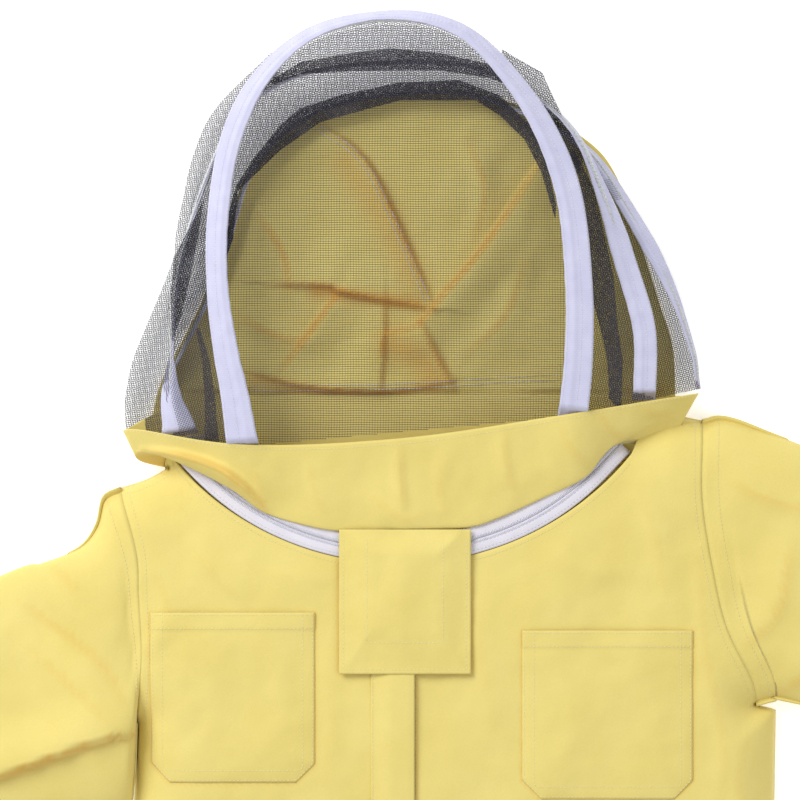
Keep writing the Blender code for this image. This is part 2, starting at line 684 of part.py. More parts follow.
def hood_back_panel():
    """Cloth back of the hood, which lies on the surface under the veil."""
    path = smooth_path(REAR_HOOP, 35)
    outer, _ = sides(path, 0.020)
    base_y = BAND_REAR_TOP_Y + 0.006
    outline = [Vector((point.x, max(point.y, base_y))) for point in outer]
    plate("hood_back_panel", [outline], 0.0, CLOTH, YELLOW)


# ---------------------------------------------------------------- assembly

clear_scene()
parts = new_collection("beekeeping_jacket")
jacket_origin = bpy.data.objects.new("jacket_origin", None)
parts.objects.link(jacket_origin)
jacket_origin.location = (BOX_SHIFT_X, 0.0, 0.0)

back_panel()
front_panel("front_panel_left", 1, LEFT_SIDE, LEFT_ARMHOLE, LEFT_SHOULDER)
front_panel("front_panel_right", -1, RIGHT_SIDE, RIGHT_ARMHOLE, RIGHT_SHOULDER)
pocket("pocket_left", (0.0915, -0.128), (0.2250, 0.004))
pocket("pocket_right", (-0.1990, -0.115), (-0.0705, 0.018))
placket()
hem_strip("hem_band", 0.0, CENTRE_GAP, HEM_BAND_WIDTH, CLOTH, YELLOW)
hem_strip("hem_elastic", ELASTIC_INSET, FRONT_TAPE_WIDTH + 0.002, 0.028, 0.001, ELASTIC)
make_sleeve_group("left", 1, LEFT_ARMHOLE, LEFT_SLEEVE_TOP, LEFT_SLEEVE_BOTTOM,
                  LEFT_SLEEVE_MIDDLE, LEFT_SLEEVE_ANGLE)
make_sleeve_group("right", -1, RIGHT_ARMHOLE, RIGHT_SLEEVE_TOP, RIGHT_SLEEVE_BOTTOM,
                  RIGHT_SLEEVE_MIDDLE, RIGHT_SLEEVE_ANGLE)
front_zip()
zip_slider("front_zip_slider", "front_zip_pull", (0.0, FRONT_SLIDER_Y), 0.0, FRONT_Z + 0.0012)
neck_zip_radius = NECK_PANEL_RADIUS - GAP - ZIP_TAPE_WIDTH - ZIP_COIL_WIDTH - 1.5 * NECK_ZIP_GAP
for word, side in (("left", 1), ("right", -1)):
    angle = NECK_SLIDER_ANGLE * side
    zip_slider("neck_zip_slider_" + word, "neck_zip_pull_" + word,
               neck_point(neck_zip_radius, angle), angle, FRONT_Z + 0.0012)
hood_band(neck_zip())
neck_flap()
hook_and_loop()
hoop("rear", REAR_HOOP, REAR_HOOP_Z)
hoop("middle", MIDDLE_HOOP, MIDDLE_HOOP_Z)
hoop("front", FRONT_HOOP, FRONT_HOOP_Z)
gusset("gusset_rear", REAR_HOOP, REAR_HOOP_Z + 0.004, MIDDLE_HOOP, MIDDLE_HOOP_Z - 0.003)
gusset("gusset_front", MIDDLE_HOOP, MIDDLE_HOOP_Z + 0.004, FRONT_HOOP, FRONT_HOOP_Z - 0.003)
face_mesh()
hood_back_panel()
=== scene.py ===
"""The look of the beekeeping jacket, laid on its back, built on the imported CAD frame.

Metres.  Shapes are made in the jacket's own frame, which has the front zip on X = 0 and +Y
towards the hood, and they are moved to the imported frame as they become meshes.  Cloth is shaped
by fold functions, so nothing is simulated.
"""

import math

import bmesh
import bpy
import numpy as np
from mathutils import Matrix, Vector, noise


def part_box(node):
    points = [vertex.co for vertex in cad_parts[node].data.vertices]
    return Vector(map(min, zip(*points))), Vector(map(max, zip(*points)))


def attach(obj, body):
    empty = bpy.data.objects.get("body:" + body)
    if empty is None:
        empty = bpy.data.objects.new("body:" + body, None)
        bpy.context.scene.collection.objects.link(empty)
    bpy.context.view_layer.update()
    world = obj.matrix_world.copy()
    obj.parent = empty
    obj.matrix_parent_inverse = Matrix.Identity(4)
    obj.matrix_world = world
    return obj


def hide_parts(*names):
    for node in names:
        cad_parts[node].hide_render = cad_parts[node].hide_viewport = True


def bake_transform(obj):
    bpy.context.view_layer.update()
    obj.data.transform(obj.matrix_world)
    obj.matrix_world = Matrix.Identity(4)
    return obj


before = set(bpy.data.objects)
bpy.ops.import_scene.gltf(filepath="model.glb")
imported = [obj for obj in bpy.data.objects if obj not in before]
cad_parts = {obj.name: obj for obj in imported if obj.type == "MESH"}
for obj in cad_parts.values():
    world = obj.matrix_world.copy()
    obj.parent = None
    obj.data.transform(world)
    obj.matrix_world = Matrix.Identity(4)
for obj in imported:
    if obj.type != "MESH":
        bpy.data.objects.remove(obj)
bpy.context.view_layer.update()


def middle_of(node):
    """Centre of a CAD node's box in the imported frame."""
    low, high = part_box(node)
    return (low + high) / 2


# ---------------------------------------------------------------- driving sizes

ZIP_X = middle_of("front_zip_slider").x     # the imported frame's X of the front zip
HEM_TOP_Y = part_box("hem_band")[1].y
HEM_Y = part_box("hem_band")[0].y
FRONT_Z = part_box("front_panel_left")[1].z
BAND_TOP_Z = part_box("hood_band")[1].z
CLOTH = 0.0009
SEAM_Z = 0.0029                             # height of the front's lowest edge
EDGE_ROUNDING = 0.05
CENTRE_GAP = 0.006
STITCH_PITCH = 0.003
SEAM_MARGIN = 0.006                         # topstitching beside a seam
UP = np.array((0.0, 0.0, 1.0))
THREAD_LIFT = 0.0003 * UP                   # thread lies this far above the cloth it holds

NECK_CENTRE = np.array((-0.004, 0.29))
NECK_HALF_ANGLE = math.radians(51)
NECK_PANEL_RADIUS = 0.234
BACK_NECK_Y = 0.1365
ZIP_TAPE_WIDTH = 0.0068
ZIP_COIL_WIDTH = 0.0026
NECK_ZIP_GAP = 0.0009
TOOTH_PITCH = 0.0013
TOOTH_RADIUS = 0.00056
REAR_RISE = 0.012
RING_LOW_Z = 0.0008
BAND_REAR_TOP_Y = 0.188

SLEEVE_LENGTH = 0.51
CUFF_LENGTH = 0.05
CUFF_HALF_WIDTH = 0.05
CUFF_HALF_HEIGHT = 0.013
SLEEVE_MIDDLE_HALF_HEIGHT = 0.021

NET_PITCH_X = 0.00212                       # of the veil netting
NET_PITCH_Y = 0.00181
NET_THREAD_ACROSS = 0.0004
NET_THREAD_ALONG = 0.00024
GUSSET_THREAD = 0.00034
GUSSET_SQUEEZE = 0.85                       # steep netting looks finer from above

# Outlines in plan, X and Y, from the hem or the neck outwards
LEFT_SIDE = ((0.276, -0.45), (0.288, -0.28), (0.2925, -0.06))
LEFT_ARMHOLE = ((0.2762, -0.056), (0.2723, -0.0367), (0.2528, 0.003), (0.2418, 0.0467),
                (0.2325, 0.1083), (0.234, 0.168))
LEFT_SHOULDER = ((0.183, 0.164), (0.208, 0.172), (0.234, 0.168))
RIGHT_SIDE = ((-0.246, -0.45), (-0.222, -0.28), (-0.211, -0.079))
RIGHT_ARMHOLE = ((-0.211, -0.07), (-0.206, -0.02), (-0.208, 0.03), (-0.21, 0.066),
                 (-0.224, 0.115))
RIGHT_SHOULDER = ((-0.186, 0.131), (-0.204, 0.1215), (-0.224, 0.115))

LEFT_SLEEVE_MIDDLE = np.array((0.25, 0.055))
LEFT_SLEEVE_ANGLE = math.radians(-13)
LEFT_SLEEVE_TOP = ((0.255, 0.17), (0.308, 0.15), (0.5, 0.078))
LEFT_SLEEVE_BOTTOM = ((0.2925, -0.052), (0.308, -0.054), (0.5, -0.094))
RIGHT_SLEEVE_MIDDLE = np.array((-0.215, 0.02))
RIGHT_SLEEVE_ANGLE = math.radians(180 + 24)
RIGHT_SLEEVE_TOP = ((-0.237, 0.108), (-0.2425, 0.086), (-0.256, 0.068), (-0.285, 0.056),
                    (-0.316, 0.0467), (-0.48, -0.03))
RIGHT_SLEEVE_BOTTOM = ((-0.213, -0.115), (-0.22, -0.138), (-0.26, -0.148),
                       (-0.316, -0.156), (-0.48, -0.194))

# Each hoop's line in plan, from its right leg over the crown to its left leg
FRONT_HOOP = ((-0.1315, 0.156), (-0.135, 0.196), (-0.145, 0.264), (-0.1455, 0.324),
              (-0.135, 0.385), (-0.1105, 0.433), (-0.0675, 0.468), (-0.008, 0.4795),
              (0.041, 0.469), (0.08, 0.435), (0.11, 0.39), (0.128, 0.339),
              (0.135, 0.27), (0.1345, 0.215), (0.131, 0.179))
MIDDLE_HOOP = ((-0.177, 0.164), (-0.183, 0.2), (-0.175, 0.293), (-0.143, 0.387),
               (-0.111, 0.424), (-0.066, 0.442), (0.0, 0.448), (0.051, 0.445),
               (0.0975, 0.424), (0.1325, 0.393), (0.156, 0.341), (0.1715, 0.293),
               (0.1865, 0.24), (0.187, 0.192))
REAR_HOOP = ((-0.188, 0.196), (-0.179, 0.215), (-0.162, 0.248), (-0.145, 0.285),
             (-0.1335, 0.325), (-0.121, 0.363), (-0.097, 0.392), (-0.0585, 0.415),
             (0.0, 0.425), (0.0505, 0.424), (0.1055, 0.404), (0.1445, 0.379),
             (0.174, 0.336), (0.208, 0.274), (0.226, 0.224), (0.23, 0.201))
FRONT_HOOP_Z = middle_of("hoop_front").z
MIDDLE_HOOP_Z = middle_of("hoop_middle").z
REAR_HOOP_Z = middle_of("hoop_rear").z
# Edges of the hood band, the netting and the hood's back
BAND_TOP = ((-0.221, 0.16), (-0.121, 0.149), (0.0, 0.1545), (0.121, 0.172),
            (0.23, 0.189))
VEIL_EDGE = ((-0.1045, 0.4586), (-0.149, 0.4142), (-0.1661, 0.3791), (-0.1739, 0.3479),
             (-0.181, 0.3128), (-0.1833, 0.2933), (-0.202, 0.2465), (-0.2145, 0.2153),
             (-0.2207, 0.1841), (-0.22, 0.1622))
BAND_LOWER = ((-0.216, 0.15), (-0.2105, 0.1476), (-0.1748, 0.1336), (-0.136, 0.1142),
              (-0.1111, 0.0965), (-0.0816, 0.087), (-0.0497, 0.0815), (0.0, 0.0828),
              (0.0483, 0.0844), (0.074, 0.0922), (0.1052, 0.1062), (0.1402, 0.123),
              (0.1558, 0.1412), (0.169, 0.1529), (0.183, 0.1607), (0.224, 0.1815))
BAND_REAR_LOWER = ((-0.204, 0.122), (-0.15, 0.138), (0.0, 0.143), (0.14, 0.134),
                   (0.205, 0.14))
BACK_OUTLINE = ((-0.2, 0.168), (-0.1926, 0.1975), (-0.1753, 0.2313), (-0.158, 0.2666),
                (-0.147, 0.2981), (-0.136, 0.3295), (-0.126, 0.36), (-0.099, 0.392),
                (-0.062, 0.413), (0.0, 0.427), (0.052, 0.427), (0.108, 0.409),
                (0.147, 0.386), (0.166, 0.362), (0.18, 0.325), (0.19, 0.295),
                (0.2012, 0.2589), (0.2114, 0.2246), (0.2135, 0.18))
# Places where the veil's netting lies in many layers
CROWN_BUNCH = ((-0.1067, 0.4318), (-0.0818, 0.4474), (-0.0428, 0.4544), (-0.0117, 0.4583),
               (0.0273, 0.4544), (0.0662, 0.4458), (0.082, 0.44), (0.08, 0.43),
               (0.0662, 0.4349), (0.0273, 0.4411),
               (-0.0039, 0.4411), (-0.0428, 0.4404), (-0.0818, 0.438), (-0.1013, 0.4302))
BACK_BUNCH = ((-0.146, 0.28), (-0.14, 0.325), (-0.1324, 0.352), (-0.1199, 0.3722),
              (-0.0979, 0.3996), (-0.0823, 0.4129), (-0.0509, 0.4231), (-0.0039, 0.4333),
              (0.0431, 0.4349), (0.0745, 0.4231), (0.1058, 0.392), (0.1184, 0.3369),
              (0.118, 0.325), (0.1066, 0.3628), (0.0941, 0.3878), (0.0745, 0.4074),
              (0.0549, 0.4192), (-0.0039, 0.4192), (-0.0274, 0.4129), (-0.0666, 0.4019),
              (-0.0979, 0.38), (-0.124, 0.3549), (-0.131, 0.348), (-0.135, 0.31))
LEFT_WEDGE = ((-0.1568, 0.3401), (-0.1693, 0.3167), (-0.18, 0.2948), (-0.1825, 0.2699),
              (-0.182, 0.2277), (-0.175, 0.248), (-0.166, 0.2854))
LEFT_BUNCH = ((-0.163, 0.2402), (-0.1583, 0.2152), (-0.156, 0.184), (-0.156, 0.145),
              (-0.1443, 0.145), (-0.1474, 0.184), (-0.1521, 0.2152), (-0.1599, 0.2402))
RIGHT_BUNCH = ((0.1279, 0.3798), (0.1357, 0.3579), (0.1435, 0.3096), (0.1466, 0.2589),
               (0.1521, 0.2394), (0.1576, 0.2152), (0.1591, 0.185), (0.1685, 0.174),
               (0.17, 0.2152), (0.1661, 0.2394), (0.163, 0.2784), (0.1576, 0.3049),
               (0.1466, 0.3509), (0.1318, 0.3798))
RIGHT_SLIVER = ((0.0753, 0.4573), (0.1071, 0.4394), (0.1273, 0.3959), (0.14, 0.372),
                (0.13, 0.35), (0.105, 0.395), (0.075, 0.44))


# ---------------------------------------------------------------- paths and plans

def circle(count):
    """Evenly spaced angles all the way round."""
    return np.linspace(0.0, 2 * math.pi, count, endpoint=False)


def closed_row(row):
    """A row of points with its first point again at the end."""
    return np.vstack((row, row[:1]))


def even_path(points, count):
    """Resample a polyline to a number of evenly spaced points."""
    points = np.asarray(points, float)
    reach = np.concatenate(([0.0], np.cumsum(np.linalg.norm(np.diff(points, axis=0), axis=1))))
    at = np.linspace(0.0, reach[-1], count)
    return np.stack([np.interp(at, reach, column) for column in points.T], axis=1)


def smooth_path(points, count):
    """Points evenly spaced along a Catmull-Rom curve through the given ones."""
    knots = np.asarray(points, float)
    knots = np.vstack((2 * knots[0] - knots[1], knots, 2 * knots[-1] - knots[-2]))
    t = np.linspace(0.0, 1.0, 24, endpoint=False)[:, None]
    spans = [0.5 * (2 * b + (c - a) * t + (2 * a - 5 * b + 4 * c - d) * t ** 2
                    + (3 * b - a - 3 * c + d) * t ** 3)
             for a, b, c, d in zip(knots, knots[1:], knots[2:], knots[3:])]
    return even_path(np.vstack(spans + [knots[-2:-1]]), count)


def point_along(path, share):
    """Points at shares of the way along evenly spaced points."""
    place = np.clip(share, 0.0, 1.0) * (len(path) - 1)
    index = np.minimum(place.astype(int), len(path) - 2)
    part = (place - index)[..., None]
    return path[index] * (1 - part) + path[index + 1] * part


def coons(bottom, top, first, last):
    """Grid of plan points that fills the space between four edges which share their corners."""
    v = np.linspace(0.0, 1.0, len(first))[:, None, None]
    u = np.linspace(0.0, 1.0, len(bottom))[None, :, None]
    corners = ((1 - u) * (1 - v) * bottom[0] + u * (1 - v) * bottom[-1]
               + (1 - u) * v * top[0] + u * v * top[-1])
    return (1 - v) * bottom + v * top + (1 - u) * first[:, None] + u * last[:, None] - corners


def side_step(path, distance):
    """The path moved sideways: to its left for a positive distance."""
    along = np.gradient(path, axis=0)
    along /= np.linalg.norm(along, axis=1)[:, None]
    return path + np.stack((-along[:, 1], along[:, 0]), axis=1) * np.asarray(distance)[..., None]


def nearest_on(points, path):
    """Distance to a path, share of the way along it, and side of it (1 is its left)."""
    best = np.full(len(points), np.inf)
    share = np.zeros(len(points))
    side = np.ones(len(points))
    spans = len(path) - 1
    for index, (start, end) in enumerate(zip(path, path[1:])):
        along = end - start
        part = np.clip((points - start) @ along / (along @ along), 0.0, 1.0)
        gap = points - start - part[:, None] * along
        distance = np.hypot(gap[:, 0], gap[:, 1])
        near = distance < best
        best[near] = distance[near]
        share[near] = (index + part[near]) / spans
        side[near] = np.where(along[0] * gap[near, 1] - along[1] * gap[near, 0] >= 0, 1.0, -1.0)
    return best, share, side


def smooth_step(value):
    """Eased rise from 0 to 1 as the value goes from 0 to 1."""
    value = np.clip(value, 0.0, 1.0)
    return value * value * (3 - 2 * value)


# ---------------------------------------------------------------- cloth relief

# Painted shade in the feet of folds, worked out from the fold tables
SHADE_OFFSET = 0.0012                       # a fold's shade starts this far from its crest
SHADE_CREST_WIDTH = 0.0008
DEEP_FOLD = 0.007                           # folds this high have the full shade


def fold_fade(share):
    """Folds die away towards both ends."""
    return np.sin(math.pi * np.clip(share, 0.03, 0.97)) ** 0.5


def folds_height(plan, folds):
    """Height added by folds: (path, height, width to its left, width to its right)."""
    points = plan.reshape(-1, 2)
    total = np.zeros(len(points))
    for path, height, left, right in folds:
        distance, share, side = nearest_on(points, smooth_path(path, 20))
        reach = np.where(side > 0, left, right)
        total += height * fold_fade(share) * np.exp(-(distance / reach) ** 2)
    return total.reshape(plan.shape[:-1])


def painted_fold_shade(plan, folds, reach=0.0038):
    """How much painted shade each point gets in the feet of folds, from 0 to 1: the narrow side of
    each fold.
    """
    points = plan.reshape(-1, 2)
    total = np.zeros(len(points))
    for path, height, left, right in folds:
        distance, share, side = nearest_on(points, smooth_path(path, 20))
        low_side = side * (1.0 if left < right else -1.0) > 0
        width = np.where(low_side, reach, SHADE_CREST_WIDTH)
        amount = np.exp(-((distance - SHADE_OFFSET) / width) ** 2)
        total += amount * fold_fade(share) * min(abs(height) / DEEP_FOLD, 1.0)
    return np.minimum(total, 1.0).reshape(plan.shape[:-1])


def painted_edge_shadow(plan, paths, reach=0.0016):
    """Painted warm shadow line on the cloth under the edges that lie on it."""
    points = plan.reshape(-1, 2)
    near = np.min([nearest_on(points, np.asarray(path, float))[0] for path in paths], axis=0)
    return (0.35 * np.exp(-(near / reach) ** 2)).reshape(plan.shape[:-1])


def wrinkles(plan, size, height, seed, turn=0.0, stretch=1.0):
    """Soft random wrinkles; stretch above 1 makes them long in the direction of turn."""
    c, s = math.cos(turn) / size, math.sin(turn) / size
    x = plan[..., 0] * c + plan[..., 1] * s
    y = plan[..., 1] * c - plan[..., 0] * s
    pairs = np.stack((x / stretch, y), axis=-1).reshape(-1, 2).tolist()
    values = np.array([noise.noise((a, b, seed)) for a, b in pairs])
    return height * values.reshape(plan.shape[:-1])


def rounded_height(plan, seams):
    """Outer face of a front panel: level, and turned down to the back panel at its seams."""
    points = plan.reshape(-1, 2)
    near = np.min([nearest_on(points, seam)[0] for seam in seams], axis=0)
    near = np.minimum(near / EDGE_ROUNDING, 1.0).reshape(plan.shape[:-1])
    return SEAM_Z + (FRONT_Z - SEAM_Z) * np.sqrt(1 - (1 - near) ** 2)


FRONT_FOLDS = (
    (((-0.165, 0.07), (-0.15, 0.05), (-0.128, 0.03)), 0.0016, 0.01, 0.006),
    (((-0.2, 0.06), (-0.185, 0.02), (-0.205, -0.02)), 0.002, 0.012, 0.007),
    (((-0.05, 0.06), (-0.085, 0.045), (-0.12, 0.048)), 0.0012, 0.012, 0.008),
    (((-0.06, -0.02), (-0.056, -0.07), (-0.062, -0.12)), 0.0012, 0.01, 0.007),
    (((0.07, 0.06), (0.06, 0.0), (0.072, -0.08)), 0.0013, 0.014, 0.008),
    (((0.11, 0.07), (0.14, 0.05), (0.185, 0.048)), 0.0012, 0.012, 0.008),
    (((0.18, 0.13), (0.196, 0.08), (0.205, 0.03)), 0.0016, 0.013, 0.008),
    (((0.232, 0.06), (0.236, -0.01), (0.25, -0.081), (0.2496, -0.128)), 0.0026, 0.016, 0.008),
    (((0.272, -0.075), (0.262, -0.11), (0.268, -0.18)), 0.002, 0.012, 0.008),
    (((-0.19, -0.14), (-0.12, -0.18), (-0.05, -0.17)), 0.0018, 0.016, 0.01),
    (((0.06, -0.2), (0.14, -0.23), (0.23, -0.21)), 0.0018, 0.018, 0.01),
    (((-0.2, -0.29), (-0.11, -0.3), (-0.04, -0.34)), 0.002, 0.018, 0.012),
    (((0.04, -0.34), (0.13, -0.33), (0.24, -0.37)), 0.002, 0.02, 0.012),
)
FRONT_SEAMS = {
    "left": (np.vstack((smooth_path(LEFT_SIDE, 9), LEFT_ARMHOLE[0])),
             smooth_path(LEFT_SHOULDER, 5)),
    "right": (np.vstack((smooth_path(RIGHT_SIDE, 9), RIGHT_ARMHOLE[0])),
              smooth_path(RIGHT_SHOULDER, 5)),
}


def neck_distance(plan):
    """How far outside the neck opening each plan point is."""
    return np.linalg.norm(plan - NECK_CENTRE, axis=-1) - NECK_PANEL_RADIUS


def front_height(plan):
    """Outer face of the torso's front, with its folds."""
    left = rounded_height(plan, FRONT_SEAMS["left"])
    right = rounded_height(plan, FRONT_SEAMS["right"])
    level = np.where(plan[..., 0] > 0, left, right)
    calm = smooth_step(neck_distance(plan) / 0.025) * smooth_step(np.abs(plan[..., 0]) / 0.03)
    relief = (folds_height(plan, FRONT_FOLDS) + wrinkles(plan, 0.055, 0.0026, 3.1, 1.1, 1.8)
              + wrinkles(plan, 0.017, 0.0006, 7.7))
    return level + relief * calm


# ---------------------------------------------------------------- meshes and pieces

def surface_normals(points, closed):
    """Unit normals of a grid of points."""
    if closed:
        across = np.roll(points, -1, axis=1) - np.roll(points, 1, axis=1)
    else:
        across = np.gradient(points, axis=1)
    normals = np.cross(across, np.gradient(points, axis=0))
    return normals / np.maximum(np.linalg.norm(normals, axis=-1, keepdims=True), 1e-12)


def add_piece(name, vertices, faces, look, body, replaces=(), flat_faces=0, loose=False,
              shade=None):
    mesh = bpy.data.meshes.new(name)
    mesh.from_pydata((np.asarray(vertices) + (ZIP_X, 0.0, 0.0)).tolist(), [], faces)
    if not loose:
        work = bmesh.new()
        work.from_mesh(mesh)
        bmesh.ops.recalc_face_normals(work, faces=work.faces)
        work.to_mesh(mesh)
        work.free()
    smooth = np.ones(len(faces), bool)
    if flat_faces:
        smooth[-flat_faces:] = False
    mesh.polygons.foreach_set("use_smooth", smooth)
    mesh.materials.append(look)
    # Per-point painted shade and painted warm light for the cloth's material
    if shade is not None:
        mesh.attributes.new("painted_light_and_shade", "FLOAT", "POINT").data.foreach_set("value", shade)
    item = bpy.data.objects.new(name, mesh)
    bpy.context.scene.collection.objects.link(item)
    if isinstance(body, str):
        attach(item, body)
    else:
        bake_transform(item)
    if replaces:
        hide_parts(*replaces)
    return item


def cloth(name, points, look, body, replaces=(), thickness=CLOTH, closed=False, flip=False,
          shade=None):
    """A sheet through a grid of points on its outer face, with its thickness inwards."""
    rows, columns = points.shape[:2]
    count = rows * columns
    normals = surface_normals(points, closed) * (-1 if flip else 1)
    vertices = np.vstack((points.reshape(-1, 3), (points - normals * thickness).reshape(-1, 3)))
    index = np.arange(count).reshape(rows, columns)
    if closed:
        index = np.hstack((index, index[:, :1]))
    outer = np.stack((index[:-1, :-1], index[:-1, 1:], index[1:, 1:], index[1:, :-1]), axis=-1)
    outer = outer.reshape(-1, 4)
    edges = [index[0], index[-1]] if closed else [index[0], index[-1], index[:, 0], index[:, -1]]
    rims = [np.stack((edge[:-1], edge[1:], edge[1:] + count, edge[:-1] + count), axis=-1)
            for edge in edges]
    rims = np.vstack(rims)
    faces = np.vstack((outer, outer[:, ::-1] + count, rims)).tolist()
    # The painted shade and painted warm light go on both faces of the sheet
    if shade is not None:
        shade = np.tile(np.asarray(shade, float).reshape(-1), 2)
    return add_piece(name, vertices, faces, look, body, replaces, flat_faces=len(rims),
                     shade=shade)


def merged(parts):
    """Vertices and faces of many small meshes as one."""
    vertices, faces, start = [], [], 0
    for part_vertices, part_faces in parts:
        vertices.append(part_vertices)
        faces += [tuple(corner + start for corner in face) for face in part_faces]
        start += len(part_vertices)
    return np.vstack(vertices), faces


def bead(start, end, radius, flatness=0.7):
    """A short length of thread or tooth with pointed ends."""
    along = end - start
    side = np.cross(along, UP)
    side *= radius / np.linalg.norm(side)
    rise = UP * radius * flatness
    rings = []
    for share in (0.2, 0.8):
        centre = start + along * share
        rings += [centre + side, centre + rise, centre - side, centre - rise]
    vertices = np.array([start] + rings + [end])
    faces = []
    for index in range(4):
        follow = (index + 1) % 4
        faces.append((0, 1 + follow, 1 + index, 1 + index))
        faces.append((1 + index, 1 + follow, 5 + follow, 5 + index))
        faces.append((5 + index, 5 + follow, 9, 9))
    return vertices, [tuple(dict.fromkeys(face)) for face in faces]


def stitches(name, rows, look, body, pitch=STITCH_PITCH, radius=0.00022, share=0.68):
    """Rows of lockstitches that lie on the cloth; each row is a path of points in space."""
    parts = []
    for row in rows:
        row = np.asarray(row, float)
        length = np.linalg.norm(np.diff(row, axis=0), axis=1).sum()
        count = max(int(length / pitch), 1)
        spots = even_path(row, count * 4 + 1)
        for index in range(count):
            first = spots[index * 4]
            last = first + (spots[index * 4 + 4] - first) * share
            parts.append(bead(first, last, radius))
    vertices, faces = merged(parts)
    add_piece(name, vertices, faces, look, body, loose=True)


def on_surface(path, height, lift=0.0003):
    """A plan path laid on a height function."""
    path = np.asarray(path, float)
    return np.column_stack((path, height(path) + lift))


def lift_grid(plan, heights):
    """Plan points with their heights added."""
    return np.concatenate((plan, np.asarray(heights)[..., None]), axis=-1)


# ---------------------------------------------------------------- materials

def node(tree, kind, inputs=None, **settings):
    """Add a shader node, with links or values for its inputs."""
    item = tree.nodes.new(kind)
    for key, value in settings.items():
        setattr(item, key, value)
    for key, value in (inputs or {}).items():
        if isinstance(value, bpy.types.NodeSocket):
            tree.links.new(value, item.inputs[key])
        else:
            item.inputs[key].default_value = value
    return item


def new_look(name, slot, **constants):
    """A material with its Principled shader, its tree and object coordinates."""
    look = bpy.data.materials.new(name)
    look.use_nodes = True
    look["slot"] = slot
    tree = look.node_tree
    shader = tree.nodes["Principled BSDF"]
    for key, value in constants.items():
        shader.inputs[key.replace("_", " ")].default_value = value
    coordinates = node(tree, "ShaderNodeTexCoord").outputs["Object"]
    return look, tree, shader, coordinates


def paint(tree, shader, colour, relief):
    """Connect a look's colour and its relief to its shader."""
    tree.links.new(colour, shader.inputs["Base Color"])
    tree.links.new(relief, shader.inputs["Normal"])


def wave(tree, coordinates, direction, period, distortion=0.0):
    """Parallel ridges with a period in metres."""
    return node(tree, "ShaderNodeTexWave",
                {"Vector": coordinates, "Scale": math.pi / (10 * period),
                 "Distortion": distortion},
                wave_type="BANDS", bands_direction=direction).outputs["Fac"]


def speckle(tree, coordinates, size, detail=3.0):
    """Noise whose patches are about size metres across."""
    return node(tree, "ShaderNodeTexNoise",
                {"Vector": coordinates, "Scale": 1 / size, "Detail": detail}).outputs["Fac"]


def ramp(tree, value, stops):
    """Colour ramp between its first and last stop."""
    item = node(tree, "ShaderNodeValToRGB", {"Fac": value})
    item.color_ramp.elements[0].position, colour = stops[0]
    item.color_ramp.elements[0].color = (*colour, 1.0)
    item.color_ramp.elements[1].position, colour = stops[-1]
    item.color_ramp.elements[1].color = (*colour, 1.0)
    return item.outputs["Color"]


def multiply(tree, first, second, amount=1.0):
    """One colour times another."""
    return node(tree, "ShaderNodeMixRGB", {"Fac": amount, "Color1": first, "Color2": second},
                blend_type="MULTIPLY").outputs["Color"]


def bump(tree, height, distance, strength=1.0, under=None):
    """Relief with a depth in metres, on top of another relief if one is given."""
    inputs = {"Height": height, "Distance": distance, "Strength": strength}
    if under is not None:
        inputs["Normal"] = under
    return node(tree, "ShaderNodeBump", inputs).outputs["Normal"]


def grey(low, high):
    """Ramp stops from one grey to another."""
    return ((0.3, (low,) * 3), (0.7, (high,) * 3))


def woven_cloth(name, slot, pale, deep, painted_warm_tint):
    """Plain-weave cotton mix: threads both ways, slubs, faint dye patches and sheen.

    A point attribute multiplies in a painted warm tint: painted shade in the feet of folds and under
    edges that lie on the cloth, and painted warm light caught in folds.
    """
    look, tree, shader, at = new_look(name, slot, Roughness=0.88, Sheen_Weight=0.22,
                                      Sheen_Roughness=0.45, Specular_IOR_Level=0.18)
    patches = ramp(tree, speckle(tree, at, 0.045), ((0.3, deep), (0.72, pale)))
    slubs = ramp(tree, speckle(tree, at, 0.0012, 2.0), grey(0.955, 1.0))
    warp = wave(tree, at, "X", 0.0007, 0.6)
    weft = wave(tree, at, "Y", 0.0006, 0.6)
    threads = ramp(tree, multiply(tree, warp, weft), ((0.0, (0.965,) * 3), (0.6, (1.0,) * 3)))
    colour = multiply(tree, multiply(tree, patches, slubs), threads)
    # Painted shade and painted warm fold light, stored per point on the cloth, darken and warm the
    # colour
    painted_light_and_shade = node(tree, "ShaderNodeAttribute", attribute_name="painted_light_and_shade").outputs["Fac"]
    colour = multiply(tree, colour, painted_warm_tint, painted_light_and_shade)
    soft = bump(tree, speckle(tree, at, 0.009, 4.0), 0.00045, 0.55)
    fine = bump(tree, speckle(tree, at, 0.0016, 2.0), 0.00012, 0.5, soft)
    weave = bump(tree, warp, 0.00006, 0.4, bump(tree, weft, 0.00006, 0.4, fine))
    paint(tree, shader, colour, weave)
    return look


def tape_look(name, slot, pale, deep, rib):
    """Woven tape: a herringbone of two slanted rib directions."""
    look, tree, shader, at = new_look(name, slot, Roughness=0.72, Sheen_Weight=0.18,
                                      Sheen_Roughness=0.4, Specular_IOR_Level=0.3)
    patches = ramp(tree, speckle(tree, at, 0.012), ((0.25, deep), (0.75, pale)))
    ribs = wave(tree, at, "DIAGONAL", rib, 0.5)
    across = wave(tree, at, "Y", rib * 1.3, 0.3)
    shade = ramp(tree, multiply(tree, ribs, across), ((0.0, (0.93,) * 3), (0.5, (1.0,) * 3)))
    colour = multiply(tree, patches, shade)
    soft = bump(tree, speckle(tree, at, 0.004, 3.0), 0.0003, 0.5)
    paint(tree, shader, colour, bump(tree, ribs, 0.00012, 0.6, soft))
    return look


